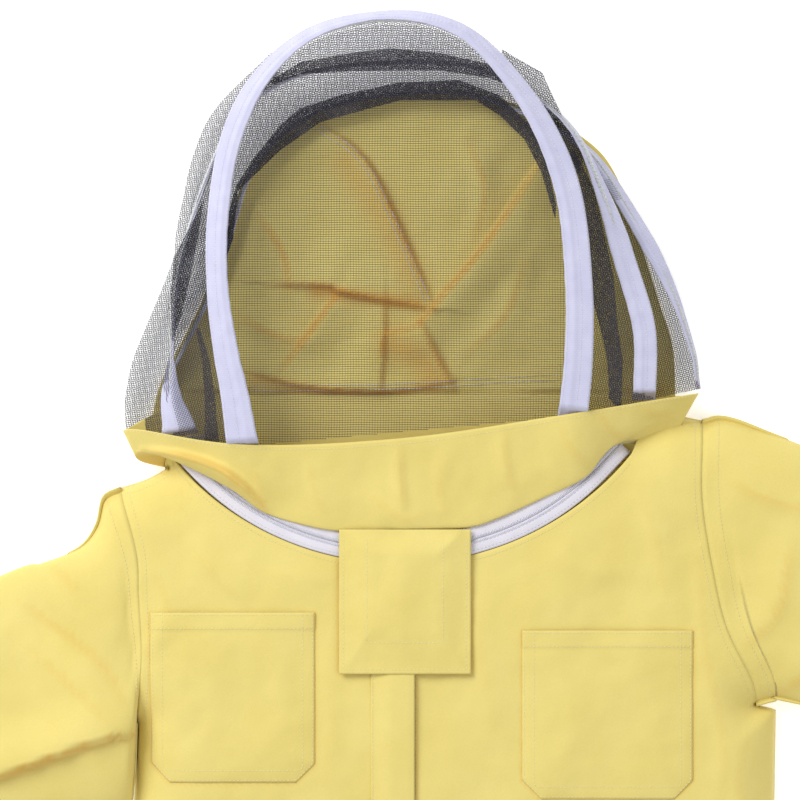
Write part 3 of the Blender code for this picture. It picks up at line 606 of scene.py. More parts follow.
def netting_look():
    """Black polyester yarn, a little greyer where the light catches it."""
    look, tree, shader, at = new_look("veil_netting", "veil_mesh", Roughness=0.6,
                                      Sheen_Weight=0.1, Specular_IOR_Level=0.25)
    colour = ramp(tree, speckle(tree, at, 0.006), ((0.3, (0.036, 0.035, 0.048)),
                                                   (0.75, (0.055, 0.053, 0.07))))
    twist = wave(tree, at, "DIAGONAL", 0.0005, 0.2)
    paint(tree, shader, colour, bump(tree, twist, 0.00005, 0.5))
    return look


def elastic_look():
    """Knitted elastic with ribs along it."""
    look, tree, shader, at = new_look("ribbed_elastic", "elastic", Roughness=0.85,
                                      Sheen_Weight=0.3, Sheen_Roughness=0.5)
    ribs = wave(tree, at, "Y", 0.0014, 0.4)
    colour = ramp(tree, ribs, ((0.1, (0.58, 0.57, 0.54)), (0.8, (0.8, 0.79, 0.76))))
    slubs = ramp(tree, speckle(tree, at, 0.0008, 2.0), grey(0.92, 1.0))
    colour = multiply(tree, colour, slubs)
    knit = bump(tree, wave(tree, at, "X", 0.0009, 0.8), 0.0001, 0.5)
    paint(tree, shader, colour, bump(tree, ribs, 0.0003, 0.8, knit))
    return look


def pile_look():
    """Hook-and-loop tape: a rough nap of tiny loops."""
    look, tree, shader, at = new_look("hook_and_loop", "hook_tape", Roughness=0.95,
                                      Sheen_Weight=0.5, Sheen_Roughness=0.6)
    nap = node(tree, "ShaderNodeTexVoronoi", {"Vector": at, "Scale": 1100.0}).outputs["Distance"]
    colour = ramp(tree, nap, ((0.1, (0.8, 0.7, 0.3)), (0.8, (0.62, 0.52, 0.18))))
    patches = ramp(tree, speckle(tree, at, 0.004), grey(0.88, 1.0))
    paint(tree, shader, multiply(tree, colour, patches), bump(tree, nap, 0.0004, 0.9))
    return look


def plastic_look(name, slot, pale, deep, roughness, clear=0.0):
    """Moulded or drawn plastic with faint flow marks."""
    look, tree, shader, at = new_look(name, slot, Specular_IOR_Level=0.5,
                                      Transmission_Weight=clear)
    colour = ramp(tree, speckle(tree, at, 0.005), ((0.3, deep), (0.7, pale)))
    gloss = ramp(tree, speckle(tree, at, 0.0015), grey(roughness * 0.8, roughness * 1.2))
    tree.links.new(gloss, shader.inputs["Roughness"])
    paint(tree, shader, colour, bump(tree, speckle(tree, at, 0.0008), 0.00004, 0.4))
    return look


def nickel_look():
    """Plated die casting: slightly wavy, with finer scratches along it."""
    look, tree, shader, at = new_look("nickel_plate", "zip_metal", Metallic=1.0)
    colour = ramp(tree, speckle(tree, at, 0.003), ((0.3, (0.6, 0.6, 0.61)),
                                                   (0.7, (0.78, 0.77, 0.76))))
    gloss = ramp(tree, speckle(tree, at, 0.0006, 4.0), grey(0.18, 0.36))
    tree.links.new(gloss, shader.inputs["Roughness"])
    scratches = wave(tree, at, "X", 0.0003, 4.0)
    soft = bump(tree, speckle(tree, at, 0.002), 0.0001, 0.4)
    paint(tree, shader, colour, bump(tree, scratches, 0.00001, 0.3, soft))
    return look


def floor_look():
    """Pale studio card, lit through a little from below."""
    look, tree, shader, at = new_look("studio_card", "", Roughness=0.9, Emission_Strength=0.45)
    shader.inputs["Emission Color"].default_value = (1.0, 1.0, 1.0, 1.0)
    colour = ramp(tree, speckle(tree, at, 0.2), ((0.3, (0.9, 0.9, 0.9)),
                                                 (0.7, (0.94, 0.94, 0.94))))
    paint(tree, shader, colour, bump(tree, speckle(tree, at, 0.002), 0.0001, 0.3))
    return look


# The last colour is the painted warm tint for painted fold shade and painted fold light
YELLOW = woven_cloth("yellow_poplin", "yellow_cloth", (0.855, 0.715, 0.238),
                     (0.815, 0.672, 0.204), (0.93, 0.58, 0.24, 1.0))
WHITE_TAPE = tape_look("white_tape", "white_tape", (0.64, 0.64, 0.82), (0.57, 0.57, 0.76), 0.0011)
ZIP_TAPE = tape_look("zip_tape", "white_tape", (0.82, 0.79, 0.86), (0.75, 0.72, 0.8), 0.0009)
YELLOW_THREAD = tape_look("yellow_thread", "yellow_cloth", (0.97, 0.9, 0.56),
                          (0.9, 0.8, 0.42), 0.0004)
WHITE_THREAD = tape_look("white_thread", "white_tape", (0.86, 0.86, 0.92), (0.74, 0.74, 0.82),
                         0.0004)
NETTING = netting_look()
ELASTIC = elastic_look()
PILE = pile_look()
NYLON = plastic_look("nylon_teeth", "zip_nylon", (0.8, 0.8, 0.88), (0.7, 0.7, 0.8), 0.4)
BONING = plastic_look("clear_boning", "boning", (0.8, 0.81, 0.82), (0.7, 0.72, 0.73), 0.3, 0.35)
NICKEL = nickel_look()
FLOOR = floor_look()


# ---------------------------------------------------------------- torso

POCKET_CORNER = 0.015
POCKETS = {
    "left": ((0.0915, -0.128), (0.225, 0.004)),
    "right": ((-0.199, -0.115), (-0.0705, 0.018)),
}
POCKET_SEWN = 0.0018                        # outer row of stitches from the pocket's edge
POCKET_INNER = 0.0095                       # inner row
POCKET_HEM = 0.0135
PLACKET_SEAM_X = -0.0268
PLACKET_EDGE_X = 0.0075
PLACKET_TOP_Y = -0.024
PLACKET_SHADE_X = PLACKET_EDGE_X + 0.0008
PLACKET_LINE = ((PLACKET_SHADE_X, HEM_TOP_Y), (PLACKET_SHADE_X, PLACKET_TOP_Y))
FLAP_HALF_WIDTH = 0.0515
FLAP_TOP_Y = 0.083
FLAP_BOTTOM_Y = -0.03
FLAP_LINE = ((-FLAP_HALF_WIDTH, 0.06), (-FLAP_HALF_WIDTH, FLAP_BOTTOM_Y),
             (FLAP_HALF_WIDTH, FLAP_BOTTOM_Y), (FLAP_HALF_WIDTH, 0.06))


def pocket_outline(low, high, margin):
    """Three sewn sides of a pocket with its clipped corners, moved inwards by a margin."""
    cut = POCKET_CORNER - margin * 0.4
    return [(low[0] + margin, high[1]), (low[0] + margin, low[1] + cut),
            (low[0] + cut, low[1] + margin), (high[0] - cut, low[1] + margin),
            (high[0] - margin, low[1] + cut), (high[0] - margin, high[1])]


def neck_points(radius, angles):
    """Plan points on a circle about the neck; angle 0 is the front."""
    return NECK_CENTRE + radius * np.stack((np.sin(angles), -np.cos(angles)), axis=-1)


def neck_edge(side, count=50):
    """Neck opening of one front panel, from the zip outwards."""
    first = math.asin((CENTRE_GAP * side - NECK_CENTRE[0]) / NECK_PANEL_RADIUS)
    return neck_points(NECK_PANEL_RADIUS, np.linspace(first, side * NECK_HALF_ANGLE, count))


def front_panel(word, side, side_seam, armhole, shoulder):
    """One half of the torso's front, from hem to shoulder."""
    columns, rows = 104, 190
    top = even_path(np.vstack((neck_edge(side), smooth_path(shoulder, 12)[1:])), columns)
    outer = even_path(np.vstack((smooth_path(side_seam, 60), smooth_path(armhole, 60))), rows)
    outer[0, 1] = HEM_TOP_Y
    outer[-1] = top[-1]
    inner = even_path([(CENTRE_GAP * side, HEM_TOP_Y), top[0]], rows)
    bottom = even_path([inner[0], outer[0]], columns)
    plan = coons(bottom, top, inner, outer)
    name = "front_panel_" + word
    # Painted shadow under the pocket, placket and flap edges, and painted shade in the feet of the
    # folds
    shade = painted_edge_shadow(plan, [pocket_outline(*POCKETS[word], 0.0), PLACKET_LINE, FLAP_LINE])
    shade = np.minimum(shade + painted_fold_shade(plan, FRONT_FOLDS) * 0.3, 1.0)
    item = cloth(name + "_cloth", lift_grid(plan, front_height(plan)), YELLOW, "jacket", (name,),
                 flip=side < 0, shade=shade)


def back_panel():
    """The torso's back, which lies on the floor."""
    columns, rows = 150, 150
    neck_left = neck_points(NECK_PANEL_RADIUS, NECK_HALF_ANGLE)[0]
    neck_right = neck_points(NECK_PANEL_RADIUS, -NECK_HALF_ANGLE)[0]
    edges = []
    for side, armhole in ((LEFT_SIDE, LEFT_ARMHOLE), (RIGHT_SIDE, RIGHT_ARMHOLE)):
        edge = even_path(np.vstack((smooth_path(side, 60), smooth_path(armhole, 60))), rows)
        edge[0, 1] = HEM_TOP_Y
        edges.append(edge)
    left, right = edges
    top = np.vstack((smooth_path(RIGHT_SHOULDER, 12)[::-1], [(neck_right, BACK_NECK_Y)],
                     [(neck_left, BACK_NECK_Y)], smooth_path(LEFT_SHOULDER, 12)))
    top = even_path(top, columns)
    top[0], top[-1] = right[-1], left[-1]
    plan = coons(even_path([right[0], left[0]], columns), top, right, left)
    height = 0.0013 + wrinkles(plan, 0.05, 0.0005, 1.7, 0.8, 1.6)
    item = cloth("back_panel_cloth", lift_grid(plan, np.maximum(height, CLOTH + 0.0002)), YELLOW,
                 "jacket", ("back_panel",))


def seam_rows():
    """Topstitching on the torso: armholes, centre edges and shoulder seams."""
    rows = [side_step(smooth_path(path, count), margin)
            for path, count, margin in ((LEFT_ARMHOLE, 120, SEAM_MARGIN),
                                        (RIGHT_ARMHOLE, 120, -SEAM_MARGIN),
                                        (LEFT_SHOULDER, 30, -SEAM_MARGIN),
                                        (RIGHT_SHOULDER, 30, SEAM_MARGIN))]
    rows += [neck_points(NECK_PANEL_RADIUS + 0.004, np.linspace(0.06, 0.86, 160) * side)
             for side in (1, -1)]
    rows += [even_path([(x, HEM_TOP_Y + 0.004), (x, 0.045)], 200) for x in (0.0085, -0.0085)]
    stitches("torso_stitching", [on_surface(row, front_height, 0.0002) for row in rows],
             YELLOW_THREAD, "jacket")


# ---------------------------------------------------------------- pockets and placket

def pocket(word, folds):
    """Patch pocket, sewn down on three sides with clipped lower corners."""
    corner, columns, rows = POCKET_CORNER, 84, 84
    low, high = np.array(POCKETS[word])
    width, depth = high - low
    y = np.linspace(0.0, depth, rows)
    inset = np.maximum(0.0, corner - y)
    share = np.linspace(0.0, 1.0, columns)
    x = inset[:, None] + (width - 2 * inset)[:, None] * share
    plan = np.stack((low[0] + x, low[1] + np.repeat(y[:, None], columns, axis=1)), axis=-1)

    def rise(points):
        """Height over the front panel: tight at the sewn edges, slack inside."""
        local = points - low
        edge = np.minimum(np.minimum(local[..., 0], width - local[..., 0]), local[..., 1])
        clipped = np.minimum(local[..., 0], width - local[..., 0]) + local[..., 1] - corner
        edge = np.clip(np.minimum(edge, clipped / 1.414), 0.0, None)
        puff = 1 - np.exp(-edge / 0.004)
        slack = 0.0012 * smooth_step(edge / 0.03)
        hem = 0.0006 * smooth_step((local[..., 1] - depth + POCKET_HEM) / 0.001)
        return 0.0006 + 0.0016 * puff + slack + hem + folds_height(points, folds)

    def height(points):
        return front_height(points) + rise(points) + wrinkles(points, 0.02, 0.0004, 5.5)

    item = cloth("pocket_" + word + "_cloth", lift_grid(plan, height(plan)), YELLOW, "jacket",
                 ("pocket_" + word,))

    rows = [even_path(pocket_outline(low, high, margin), 260)
            for margin in (POCKET_SEWN, POCKET_INNER)]
    rows += [even_path([(low[0] + 0.002, y), (high[0] - 0.002, y)], 90)
             for y in (high[1] - POCKET_HEM + 0.001, high[1] - 0.002)]
    stitches("pocket_" + word + "_stitching", [on_surface(row, height, 0.0001) for row in rows],
             YELLOW_THREAD, "jacket")


def placket_height(plan):
    """The placket rises over the front zip and falls softly at its free edge."""
    across = (plan[..., 0] - PLACKET_SEAM_X) / (PLACKET_EDGE_X - PLACKET_SEAM_X)
    rise = 0.003 * smooth_step(across / 0.5) - 0.0006 * smooth_step((across - 0.85) / 0.15)
    return FRONT_Z + 0.001 + rise + wrinkles(plan, 0.045, 0.0008, 9.2, 1.5, 2.5)


def placket():
    """Cover over the front zip, sewn along one side."""
    x = np.linspace(PLACKET_SEAM_X, PLACKET_EDGE_X, 26)
    y = np.linspace(HEM_TOP_Y, PLACKET_TOP_Y, 180)
    plan = np.stack(np.meshgrid(x, y), axis=-1)
    item = cloth("placket_cloth", lift_grid(plan, placket_height(plan)), YELLOW, "placket",
                 ("placket",))
    seam_x = PLACKET_SEAM_X + 0.0015
    row = even_path([(seam_x, HEM_TOP_Y + 0.003), (seam_x, PLACKET_TOP_Y - 0.002)], 200)
    stitches("placket_stitching", [on_surface(row, placket_height)], YELLOW_THREAD, "placket")


# ---------------------------------------------------------------- hem

def oval(across, power):
    """Rounded cross-section: 1 in the middle, 0 at both ends."""
    return np.sqrt(np.maximum(1 - np.abs(across) ** power, 0.0))


HEM_RUFFLES = 46                            # round the whole hem; a second set of 29 breaks them up
HEM_RUFFLE_HEIGHT = 0.0009
CUFF_RUFFLES = 38
CUFF_RUFFLE_HEIGHT = 0.0010


def hem_band():
    """Casing round the hem, gathered by its elastic, open at the front zip."""
    half = FRONT_Z / 2
    left, right = LEFT_SIDE[0][0], RIGHT_SIDE[0][0]
    middle, reach = (left + right) / 2, (left - right) / 2
    start = math.acos((CENTRE_GAP - middle) / reach)
    end = math.acos((-CENTRE_GAP - middle) / reach)
    turn = np.linspace(start, end - 2 * math.pi, 460)
    rows = 16
    v = np.linspace(0.0, 1.0, rows)[:, None]
    gather = np.sin(turn * HEM_RUFFLES) * 0.6 + np.sin(turn * 29 + 1.0) * 0.4
    middle_share = np.sin(math.pi * v)
    ruffle = gather * (0.35 + 0.65 * middle_share)
    swell = HEM_RUFFLE_HEIGHT * (middle_share - 1 + ruffle)
    sign = np.where(np.sin(turn) >= 0, 1.0, -1.0)
    x = middle + np.cos(turn) * (reach + swell * 0.5)
    z = half + sign * oval(np.cos(turn), 4) * half + sign * swell
    y = HEM_Y + (HEM_TOP_Y - HEM_Y) * v + 0 * x
    points = np.stack((x + 0 * y, y, np.clip(z, CLOTH + 0.0002, FRONT_Z + 0.0012)), axis=-1)
    item = cloth("hem_band_cloth", points, YELLOW, "jacket", ("hem_band",), flip=True)
    rows = [points[row] + (0.0, 0.0, 0.0004) for row in (2, 13)]
    stitches("hem_band_stitching", rows, YELLOW_THREAD, "jacket")


# ---------------------------------------------------------------- sleeves

def arm_axes(angle, side):
    """Directions along an arm and across it, towards the hood."""
    along = np.array((math.cos(angle), math.sin(angle)))
    return along, np.array((-along[1], along[0])) * side


SLEEVE_WRINKLES = (0.05, 0.003, 11.3)       # size, height and seed of the large wrinkles
GATHER_FROM = 0.82                          # share of the sleeve's length where gathers start
GATHERS = 34
GATHER_HEIGHT = 0.0012


def sleeve(word, side, armhole, upper_edge, lower_edge, middle, angle, folds):
    """Sleeve from its armhole to the cuff, gathered at the cuff."""
    stations, around = 130, 150
    along, cross = arm_axes(angle, side)
    end = middle + along * SLEEVE_LENGTH
    upper_end, lower_end = end + cross * CUFF_HALF_WIDTH, end - cross * CUFF_HALF_WIDTH
    start = smooth_path(armhole, 80)[::-1]
    upper = smooth_path([start[0], *upper_edge, upper_end], stations)
    lower = smooth_path([start[-1], *lower_edge, lower_end], stations)
    lines = coons(start, even_path([upper_end, lower_end], len(start)), upper, lower)
    share = np.linspace(0.0, 1.0, stations)
    swell = np.sqrt(np.sin(math.pi * np.clip(share, 0.0, 1.0)))
    half = FRONT_Z / 2 * (1 - share) + CUFF_HALF_HEIGHT * share
    half = (half + (SLEEVE_MIDDLE_HALF_HEIGHT - FRONT_Z / 2) * swell)[:, None]
    turn = circle(around)
    across = np.cos(turn)
    plan = np.stack([point_along(line, (1 - across) / 2) for line in lines])
    above = np.sin(turn) >= 0
    oval_height = oval(across, 3)
    top = half * (1 + oval_height)
    seam = front_height(start)
    match = np.interp((1 - across) / 2, np.linspace(0.0, 1.0, len(start)), seam)
    near = smooth_step(share / 0.16)[:, None]
    relief = folds_height(plan, folds) + wrinkles(plan, *SLEEVE_WRINKLES, angle + 1.2, 1.7)
    relief += wrinkles(plan, 0.018, 0.0007, 2.9)
    gathered = smooth_step((share - GATHER_FROM) / 0.18)[:, None]
    relief += gathered * GATHER_HEIGHT * np.sin(turn * GATHERS)
    free = smooth_step(share / 0.03)[:, None]
    top = match * (1 - near) + top * near + relief * oval_height * free
    low = half * (1 - oval_height) + 0.0002 + 0.3 * gathered * np.abs(np.sin(turn * 17)) * 0.002
    points = lift_grid(plan, np.where(above, top, low))
    body = "sleeve_" + word
    start_point = (*start.mean(axis=0), 0.015)
    bend = along * 0.13 + start.mean(axis=0)
    reach = ("jacket", body, start_point, (*bend, 0.015))
    # Painted shade in the feet of the sleeve's folds, on its upper face only
    shade = painted_fold_shade(plan, folds) * np.where(above, 1.0, 0.0)
    item = cloth(body + "_cloth", points, YELLOW, reach, (body,), closed=True, flip=side < 0,
                 shade=shade * 0.6)
    quarter = around // 4
    rows = [points[3, 2:2 * quarter - 2] + THREAD_LIFT,
            points[:, quarter * 2 - 2][4:-2] + (0.0, 0.0, 0.0004)]
    stitches(body + "_stitching", rows, YELLOW_THREAD, reach)


def cuff(word, side, middle, angle):
    """Cuff with its elastic drawn in: ruffles that run along the arm."""
    rows, around = 26, 260
    v = np.linspace(0.0, 1.0, rows)
    turn = circle(around)
    across = np.cos(turn)
    ruffle = 0.55 * np.sin(turn * CUFF_RUFFLES) + 0.45 * np.sin(turn * 27 + 0.7)
    waist = 0.4 + 0.6 * np.sin(math.pi * v[:, None])
    out = CUFF_RUFFLE_HEIGHT * ruffle * waist - 0.0014 * np.sin(math.pi * v[:, None])
    along, cross = arm_axes(angle, side)
    centre = middle + along * (SLEEVE_LENGTH + CUFF_LENGTH * v)[:, None]
    plan = centre[:, None] + cross * (across * (CUFF_HALF_WIDTH + out))[..., None]
    sign = np.where(np.sin(turn) >= 0, 1.0, -1.0)
    height = CUFF_HALF_HEIGHT + 0.0006 + sign * oval(across, 3) * (CUFF_HALF_HEIGHT + out)
    points = lift_grid(plan, np.maximum(height, 0.0002))
    name = "cuff_" + word
    item = cloth(name + "_cloth", points, YELLOW, "sleeve_" + word, (name,), closed=True,
                 flip=side < 0)
    rings = [closed_row(points[row]) + THREAD_LIFT for row in (2, 8, 17, 23)]
    stitches(name + "_stitching", rings, YELLOW_THREAD, "sleeve_" + word)


# ---------------------------------------------------------------- zips

def teeth(name, path, replaces, side, pitch=TOOTH_PITCH, width=ZIP_COIL_WIDTH):
    """Coil of a zip: one small loop of nylon for each tooth, leaning over the tape's edge."""
    length = np.linalg.norm(np.diff(path, axis=0), axis=1).sum()
    spots = even_path(path, int(length / pitch))
    along = np.gradient(spots, axis=0)
    along /= np.linalg.norm(along, axis=1)[:, None]
    parts = []
    for spot, direction in zip(spots, along):
        across = np.cross(direction, UP) * side
        across /= np.linalg.norm(across)
        lean = direction * pitch * 0.3
        start = spot - across * width / 2 - lean
        end = spot + across * width / 2 + lean
        parts.append(bead(start, end, TOOTH_RADIUS, 1.1))
    vertices, faces = merged(parts)
    add_piece(name, vertices, faces, NYLON, "jacket", replaces, loose=True)


def neck_ring(radius, top, count):
    """Closed ring round the neck: a level front arc, a low back, and folds at both shoulders."""
    turn = circle(count)
    across = np.cos(turn)
    rise = np.copysign(oval(across, 8), np.sin(turn))
    height = RING_LOW_Z + (top - RING_LOW_Z) * (1 + rise) / 2
    front = neck_points(radius, NECK_HALF_ANGLE * across)
    end_y = neck_points(radius, NECK_HALF_ANGLE)[1]
    back = np.stack((front[:, 0], end_y + REAR_RISE * (1 - across ** 2)), axis=-1)
    plan = back + (front - back) * ((1 + rise) / 2)[:, None]
    return lift_grid(plan, height)


def neck_zip():
    """Jacket tape, two coils and hood tape, each a closed ring inside the last one."""
    count = 360
    outer = NECK_PANEL_RADIUS - 0.0005
    top = FRONT_Z - 0.0002
    rings = []
    under_coil = ZIP_COIL_WIDTH + 1.4 * NECK_ZIP_GAP
    for word, name, inner in (("jacket", "neck_zip_tape_jacket", False), ("jacket", "coil", True),
                              ("hood", "coil", True), ("hood", "neck_zip_tape_hood", False)):
        width = ZIP_COIL_WIDTH if inner else ZIP_TAPE_WIDTH
        start, reach = (outer, width + under_coil) if word == "jacket" else (
            outer + under_coil, width + under_coil)
        if inner:
            ring = neck_ring(outer - width / 2, top + 0.0004, count)
            path = closed_row(ring)
            side = 1 if word == "jacket" else -1
            teeth("neck_zip_coil_" + word + "_teeth", path, ("neck_zip_coil_" + word,), side)
        else:
            steps = 8
            grid = []
            for step in range(steps + 1):
                share = step / steps
                dome = 0.0006 * math.sin(math.pi * share)
                grid.append(neck_ring(start - reach * share, top + dome, count))
            grid = np.array(grid)
            item = cloth(name + "_woven", grid, ZIP_TAPE, "jacket", (name,), 0.0007,
                         closed=True, flip=True)
            for row in (2, 6):
                rings.append(closed_row(grid[row]) + THREAD_LIFT)
        outer -= width + NECK_ZIP_GAP
    stitches("neck_zip_stitching", rings, WHITE_THREAD, "jacket", share=0.55)
    return outer


def front_zip():
    """Two tapes, each with its coil."""
    bottom = HEM_Y + 0.004
    top = NECK_CENTRE[1] - NECK_PANEL_RADIUS - 0.0005
    low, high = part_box("front_zip_coil_left")
    rows = []
    for word, side in (("left", 1), ("right", -1)):
        tape_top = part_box("front_zip_tape_" + word)[1].z
        x = np.linspace(0.0004, 0.0149, 8) * side
        plan = np.stack(np.meshgrid(x, np.linspace(bottom, top, 260)), axis=-1)
        height = tape_top - 0.0001 + 0.0001 * np.sin(plan[..., 1] * 900)
        item = cloth("front_zip_tape_" + word + "_woven", lift_grid(plan, height), ZIP_TAPE,
                     "jacket", ("front_zip_tape_" + word,), 0.0006, flip=side < 0)
        path = np.array([(0.0016 * side, low.y, (low.z + high.z) / 2),
                         (0.0016 * side, high.y, (low.z + high.z) / 2)])
        teeth("front_zip_coil_" + word + "_teeth", path, ("front_zip_coil_" + word,), side)
        rows.append(even_path([(0.0046 * side, bottom + 0.002, tape_top + 0.0002),
                               (0.0046 * side, top - 0.002, tape_top + 0.0002)], 260))
    stitches("front_zip_stitching", rows, WHITE_THREAD, "jacket")


def slab(outline, low, high):
    """A flat solid between two heights."""
    count = len(outline)
    vertices = [(x, y, low) for x, y in outline] + [(x, y, high) for x, y in outline]
    faces = [tuple(range(count))[::-1], tuple(range(count, 2 * count))]
    faces += [(i, (i + 1) % count, (i + 1) % count + count, i + count) for i in range(count)]
    return vertices, faces


def rounded(item, width):
    """Soften an object's edges."""
    bevel = item.modifiers.new("Rounding", "BEVEL")
    bevel.width = width
    bevel.segments = 3


SLIDER_HALF_WIDTH = 0.0045
SLIDER_LENGTH = 0.013
SLIDER_SHELL = 0.002
SLIDER_ROUNDING = 0.00035
PULL_ROUNDING = 0.00025


def slider(node_name, pull_name, body, pull_body, place, turn):
    """Top shell with its side walls, a bridge on two feet, and a tear-shaped pull."""
    low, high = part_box(node_name)
    half, length = SLIDER_HALF_WIDTH, SLIDER_LENGTH
    shape = [(-0.0032, -length / 2), (0.0032, -length / 2), (half, 0.0006), (half, 0.0047),
             (0.0025, length / 2), (-0.0025, length / 2), (-half, 0.0047), (-half, 0.0006)]
    bridge = [(-0.0011, -0.004), (0.0011, -0.004), (0.0011, 0.004), (-0.0011, 0.004)]
    feet = [[(x, y + end) for x, y in ((-0.0011, -0.0009), (0.0011, -0.0009), (0.0011, 0.0009),
                                       (-0.0011, 0.0009))] for end in (-0.0035, 0.0035)]
    shell_top = low.z + SLIDER_SHELL
    parts = [slab(shape, low.z, shell_top), slab(bridge, high.z - 0.001, high.z)]
    parts += [slab(foot, shell_top, high.z - 0.0009) for foot in feet]
    parts += [slab([(x * side, y) for x, y in ((half - 0.0012, -0.005), (half, -0.002),
                                               (half, 0.0047), (half - 0.0012, 0.0047))][::side],
                   low.z - 0.0012, low.z + 0.0002) for side in (1, -1)]
    vertices, faces = merged(parts)
    item = add_piece(node_name + "_casting", turned(vertices, place, turn), faces, NICKEL, body,
                     (node_name,), flat_faces=len(faces))
    rounded(item, SLIDER_ROUNDING)
    pull_low, pull_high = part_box(pull_name)
    turns = circle(28)
    outer = [(0.0021 * math.sin(t) * (1 + 0.25 * math.cos(t / 2) ** 2),
              -0.0076 + 0.0094 * math.cos(t)) for t in turns]
    eye = [(0.0011 * math.sin(t), -0.0013 + 0.0016 * math.cos(t)) for t in turns]
    count = len(outer)
    rings = [(*point, z) for z in (pull_low.z, pull_high.z) for loop in (outer, eye)
             for point in loop]
    faces = []
    for i in range(count):
        j = (i + 1) % count
        faces += [(i, j, j + count, i + count), (i + 2 * count, i + 3 * count, j + 3 * count,
                                                 j + 2 * count),
                  (i, i + 2 * count, j + 2 * count, j), (i + count, j + count, j + 3 * count,
                                                         i + 3 * count)]
    item = add_piece(pull_name + "_tab", turned(rings, place, turn), faces, NICKEL, pull_body,
                     (pull_name,), flat_faces=len(faces))
    rounded(item, PULL_ROUNDING)


def turned(vertices, place, turn):
    """Points turned about Z and moved to a place in plan."""
    points = np.array(vertices, float)
    c, s = math.cos(turn), math.sin(turn)
    x = points[:, 0] * c - points[:, 1] * s + place[0]
    y = points[:, 0] * s + points[:, 1] * c + place[1]
    return np.column_stack((x, y, points[:, 2]))


def sliders():
    """The front zip's slider, and two that meet in the middle of the neck zip."""
    slider("front_zip_slider", "front_zip_pull", "front_slider", "front_pull", (0.0, 0.038), 0.0)
    radius = NECK_PANEL_RADIUS - 0.0005 - ZIP_TAPE_WIDTH - ZIP_COIL_WIDTH - 1.5 * NECK_ZIP_GAP
    for word, side in (("left", 1), ("right", -1)):
        angle = math.radians(2.6) * side
        slider("neck_zip_slider_" + word, "neck_zip_pull_" + word, "neck_slider_" + word,
               "neck_pull_" + word, neck_points(radius, angle), angle)


# ---------------------------------------------------------------- hood band and flap

BAND_FOLDS = (
    (((-0.205, 0.144), (-0.176, 0.14), (-0.145, 0.13), (-0.122, 0.113),
      (-0.11, 0.096)), 0.009, 0.004, 0.014),
    (((-0.14, 0.131), (-0.13, 0.115), (-0.12, 0.097)), 0.002, 0.006, 0.004),
    (((-0.118, 0.133), (-0.112, 0.112), (-0.108, 0.095)), 0.0018, 0.007, 0.004),
    (((-0.075, 0.14), (-0.07, 0.115), (-0.062, 0.094)), 0.0014, 0.01, 0.006),
    (((-0.005, 0.15), (-0.004, 0.12), (0.0, 0.092)), 0.0022, 0.003, 0.008),
    (((-0.03, 0.11), (-0.014, 0.098), (0.001, 0.09), (0.018, 0.097)), 0.0018, 0.005, 0.009),
    (((0.03, 0.14), (0.028, 0.115), (0.034, 0.092)), 0.0014, 0.01, 0.006),
    (((0.076, 0.162), (0.078, 0.135), (0.084, 0.112)), 0.002, 0.004, 0.008),
    (((0.12, 0.17), (0.128, 0.15), (0.146, 0.13)), 0.002, 0.01, 0.006),
    (((0.15, 0.178), (0.16, 0.162), (0.176, 0.152)), 0.0022, 0.01, 0.005),
    (((0.185, 0.182), (0.196, 0.174), (0.212, 0.176)), 0.002, 0.008, 0.005),
)


